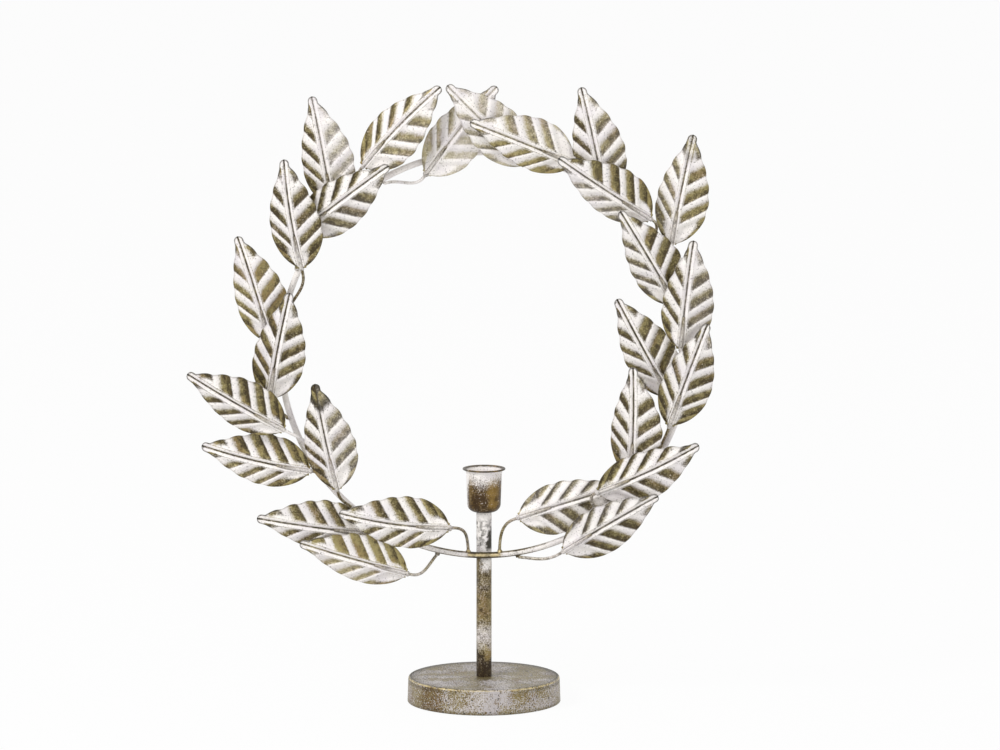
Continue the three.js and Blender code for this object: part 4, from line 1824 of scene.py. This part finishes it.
@dataclass
class Column:
    """The tube stem and the candle cup on it, in millimetres.

    Attributes:
        wall: Thickness of the stem's tube.
        cup_wall: Thickness of the cup.
        floor: Thickness of its floor.
        corner: Radius of its round bottom.
        taper: How much narrower it is at that round than at the neck, on each side.
        flare: Height of its flared lip.
        bore: Diameter of the candle's socket.
        lip: Thickness of the lip's edge.
    """

    wall: float = 1.2
    cup_wall: float = 1.5
    floor: float = 1.6
    corner: float = 6
    taper: float = 0.7
    flare: float = 5
    bore: float = 22.6
    lip: float = 1.2

    SEGMENTS = 96
    CORNER_STEPS, LIP_STEPS, FLARE_STEPS, HOLLOW_STEPS = 10, 8, 8, 8
    # Wear just under the lip's edge, and inside of it from the edge down
    OUTER_WEAR = 0.8
    INNER_WEAR = (1, 1, 0.8, 0.3)

    def build(self, stem_finish: Finish, cup_finish: Finish) -> None:
        """Builds the stem and the cup.

        Args:
            stem_finish: Finish of the stem.
            cup_finish: Finish of the cup.
        """
        low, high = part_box("stem_tube")
        radius = high.x / MM
        inside = radius - self.wall
        bottom, top = low.z / MM, high.z / MM
        walls = [Turn(radius, bottom), Turn(radius, top), Turn(inside, top), Turn(inside, bottom)]
        stem = turned("stem", walls, self.SEGMENTS, True, stem_finish)
        settle(stem, Slot.STEM, "stem_tube")
        cup = turned("cup", self.cup_profile(), self.SEGMENTS, False, cup_finish)
        settle(cup, Slot.CUP, "candle_cup")

    def cup_profile(self) -> list[Turn]:
        """Profile of the cup: up its outside, over the lip and down its inside.

        Returns:
            Its points.
        """
        low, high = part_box("candle_cup")
        base, top = low.z / MM, high.z / MM
        half = self.lip / 2
        lip_radius = high.x / MM - half
        bore = self.bore / 2
        body = bore + self.cup_wall
        neck = top - self.flare
        middle = body - self.taper - self.corner
        profile = [Turn(0, base)]
        profile += arc((middle, base + self.corner), self.corner, -90, 0, self.CORNER_STEPS)
        profile += self.flare_points(body, neck, lip_radius, top - self.lip)
        profile[-1] = replace(profile[-1], worn=self.OUTER_WEAR)
        profile += arc((lip_radius, top - half), half, -90, 90, self.LIP_STEPS, worn=1)
        hollow = self.flare_points(bore, neck, lip_radius, top)[::-1]
        for i, worn in enumerate(self.INNER_WEAR):
            hollow[i] = replace(hollow[i], worn=worn)
        inner = self.corner - self.cup_wall
        hollow += arc((middle, base + self.floor + inner), inner, 0, -90, self.HOLLOW_STEPS)
        hollow.append(Turn(0, base + self.floor))
        return profile + [replace(turn, inner=1) for turn in hollow]

    def flare_points(
        self, radius: float, neck: float, lip_radius: float, top: float
    ) -> list[Turn]:
        """Points up a wall that turns outwards to the lip.

        Args:
            radius: Radius of the straight wall.
            neck: Height where it begins to turn.
            lip_radius: Radius at the lip.
            top: Height at the lip.

        Returns:
            The points, from the neck to just before the lip.
        """
        made = []
        for i in range(self.FLARE_STEPS):
            t = i / self.FLARE_STEPS
            across = radius + (lip_radius - radius) * t * t
            up = neck + (top - neck) * (2 * t - t * t)
            made.append(Turn(across, up))
        return made


# Studio


@dataclass(frozen=True)
class Lamp:
    """A soft square lamp.

    Attributes:
        name: Its name.
        place: Where it stands, in metres.
        size: Its side, in metres.
        power: Its power in watts.
    """

    name: str
    place: tuple[float, float, float]
    size: float
    power: float

    def build(self, target: Vector) -> None:
        """Adds the lamp.

        Args:
            target: The point it looks at.
        """
        data = bpy.data.lights.new(self.name, "AREA")
        data.size = self.size
        data.energy = self.power
        lamp = bpy.data.objects.new(self.name, data)
        lamp.location = self.place
        lamp.rotation_euler = (target - lamp.location).to_track_quat("-Z", "Y").to_euler()
        bpy.context.scene.collection.objects.link(lamp)


@dataclass
class Studio:
    """White floor, soft light and the camera of the photograph.

    Attributes:
        eye: Where the camera stands, in metres.
        tilt: How far it looks down, in degrees.
        lens: Its focal length in millimetres.
        axis: Where its optical axis falls in the picture, in pixels.
        picture: Width and height of the picture, in pixels.
        ambient: Strength of the light from all round.
        floor_size: Side of the floor, in metres.
        floor_drop: How far the floor lies below the felt, in millimetres.
        floor_grey: Share of the light that the floor scatters.
        floor_glow: Share of plain white in the floor where it shows.
        aim: The point that the lamps look at, in metres.
        lamps: The lamps.
    """

    eye: tuple[float, float, float] = (0, -3.9585, 0.8008)
    tilt: float = 8.27
    lens: float = 200
    axis: tuple[float, float] = (484, 393.6)
    picture: tuple[int, int] = (1000, 750)
    ambient: float = 0.5
    floor_size: float = 80
    floor_drop: float = 0.05
    floor_grey: float = 0.85
    floor_glow: float = 0.95
    aim: tuple[float, float, float] = (0, 0, 0.25)
    lamps: tuple[Lamp, ...] = (
        Lamp("key_lamp", (-2.2, -1.8, 2.4), 1.2, 74),
        Lamp("fill_lamp", (2.4, -2.0, 1.2), 1.8, 22),
    )

    # Rays that show what is behind the holder: from the camera, in a reflection or through glass
    SHOWING = ("Is Camera Ray", "Is Glossy Ray", "Is Transmission Ray")

    def build(self) -> None:
        """Builds the camera, the light and the floor."""
        scene = bpy.context.scene
        scene.view_settings.view_transform = "Standard"
        self.build_camera(scene)
        self.build_world(scene)
        self.build_floor(scene)
        for lamp in self.lamps:
            lamp.build(Vector(self.aim))

    def build_camera(self, scene: bpy.types.Scene) -> None:
        """Adds the camera at the photograph's viewing angle.

        Args:
            scene: The scene.
        """
        data = bpy.data.cameras.new("photo_camera")
        data.lens = self.lens
        data.sensor_fit = "HORIZONTAL"
        width, height = self.picture
        data.shift_x = (width / 2 - self.axis[0]) / width
        data.shift_y = (self.axis[1] - height / 2) / width
        camera = bpy.data.objects.new("photo_camera", data)
        camera.location = self.eye
        camera.rotation_euler = (math.radians(90 - self.tilt), 0, 0)
        scene.collection.objects.link(camera)
        scene.camera = camera

    def seen(self, graph: Graph) -> Field:
        """Tells the rays that show the background from those that only bring light.

        Args:
            graph: The tree that asks.

        Returns:
            1 for a ray that shows it, 0 for any other.
        """
        path = graph.node("ShaderNodeLightPath")
        camera, glossy, through = (Field(graph, path.outputs[name]) for name in self.SHOWING)
        return graph.math("MAXIMUM", graph.math("MAXIMUM", camera, glossy), through)

    def build_world(self, scene: bpy.types.Scene) -> None:
        """Lights the scene from all round, with a white background where it shows.

        Args:
            scene: The scene.
        """
        world = bpy.data.worlds.new("white_studio")
        world.use_nodes = True
        graph = Graph(world.node_tree)
        strength = graph.mix(self.seen(graph), self.ambient, 1.0)
        inputs = {"Color": (1, 1, 1, 1), "Strength": strength}
        background = graph.call("ShaderNodeBackground", inputs)
        graph.feed(graph.node("ShaderNodeOutputWorld").inputs["Surface"], background)
        scene.world = world

    def build_floor(self, scene: bpy.types.Scene) -> None:
        """Adds the white floor, which keeps the holder's soft shadow and is clear from underneath.

        Args:
            scene: The scene.
        """
        half = self.floor_size / 2
        z = -self.floor_drop * MM
        corners = [(-half, -half, z), (half, -half, z), (half, half, z), (-half, half, z)]
        mesh = bpy.data.meshes.new("floor")
        mesh.from_pydata(corners, [], [(0, 1, 2, 3)])
        floor = bpy.data.objects.new("floor", mesh)
        scene.collection.objects.link(floor)
        material = bpy.data.materials.new("white_floor")
        material.use_nodes = True
        graph = Graph(material.node_tree)
        grey = self.floor_grey
        matt = graph.call("ShaderNodeBsdfDiffuse", {"Color": (grey, grey, grey, 1)})
        glow = graph.call("ShaderNodeEmission", {})
        mixer = "ShaderNodeMixShader"
        white = graph.row(mixer, self.seen(graph) * self.floor_glow, matt, glow)
        back = Field(graph, graph.node("ShaderNodeNewGeometry").outputs["Backfacing"])
        surface = graph.row(mixer, back, white, graph.call("ShaderNodeBsdfTransparent", {}))
        graph.feed(graph.node("ShaderNodeOutputMaterial").inputs["Surface"], surface)
        mesh.materials.append(material)


def main() -> None:
    """Builds the studio and every piece of the holder."""
    logging.basicConfig(level=logging.INFO, format="%(message)s")
    Studio().build()
    leaf = Patina("washed_leaf", srgb(64, 53, 29), srgb(160, 147, 98), soft=0.46)
    wire = Patina("bronze_wire", bronze=srgb(150, 134, 84))
    rod = Patina("washed_rod", pits=0.3)
    stem = Patina("mottled_stem", srgb(52, 39, 23), srgb(150, 132, 82), soft=0.4, speckle=1.2)
    cup = Patina("mottled_cup", srgb(62, 43, 15), srgb(136, 108, 50), speckle=1.6, patch=0.8)
    foot = Patina(
        "clouded_foot",
        srgb(100, 74, 34),
        srgb(142, 128, 88),
        srgb(214, 208, 207),
        srgb(188, 182, 183),
        speckle=2.8,
        fleck=0.7,
        pits=0.9,
    )
    Wreath().build(leaf.material(leaf_coat), wire.material(wire_coat), rod.material(rod_coat))
    Column().build(stem.material(stem_coat), cup.material(cup_coat))
    Foot().build(foot.material(foot_coat), felt_material())
    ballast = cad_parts["base_weight"]
    ballast.data.materials.clear()
    ballast.data.materials.append(iron_material())
    LOG.info("base_weight: keeps its own shape")


if __name__ == "__main__":
    main()
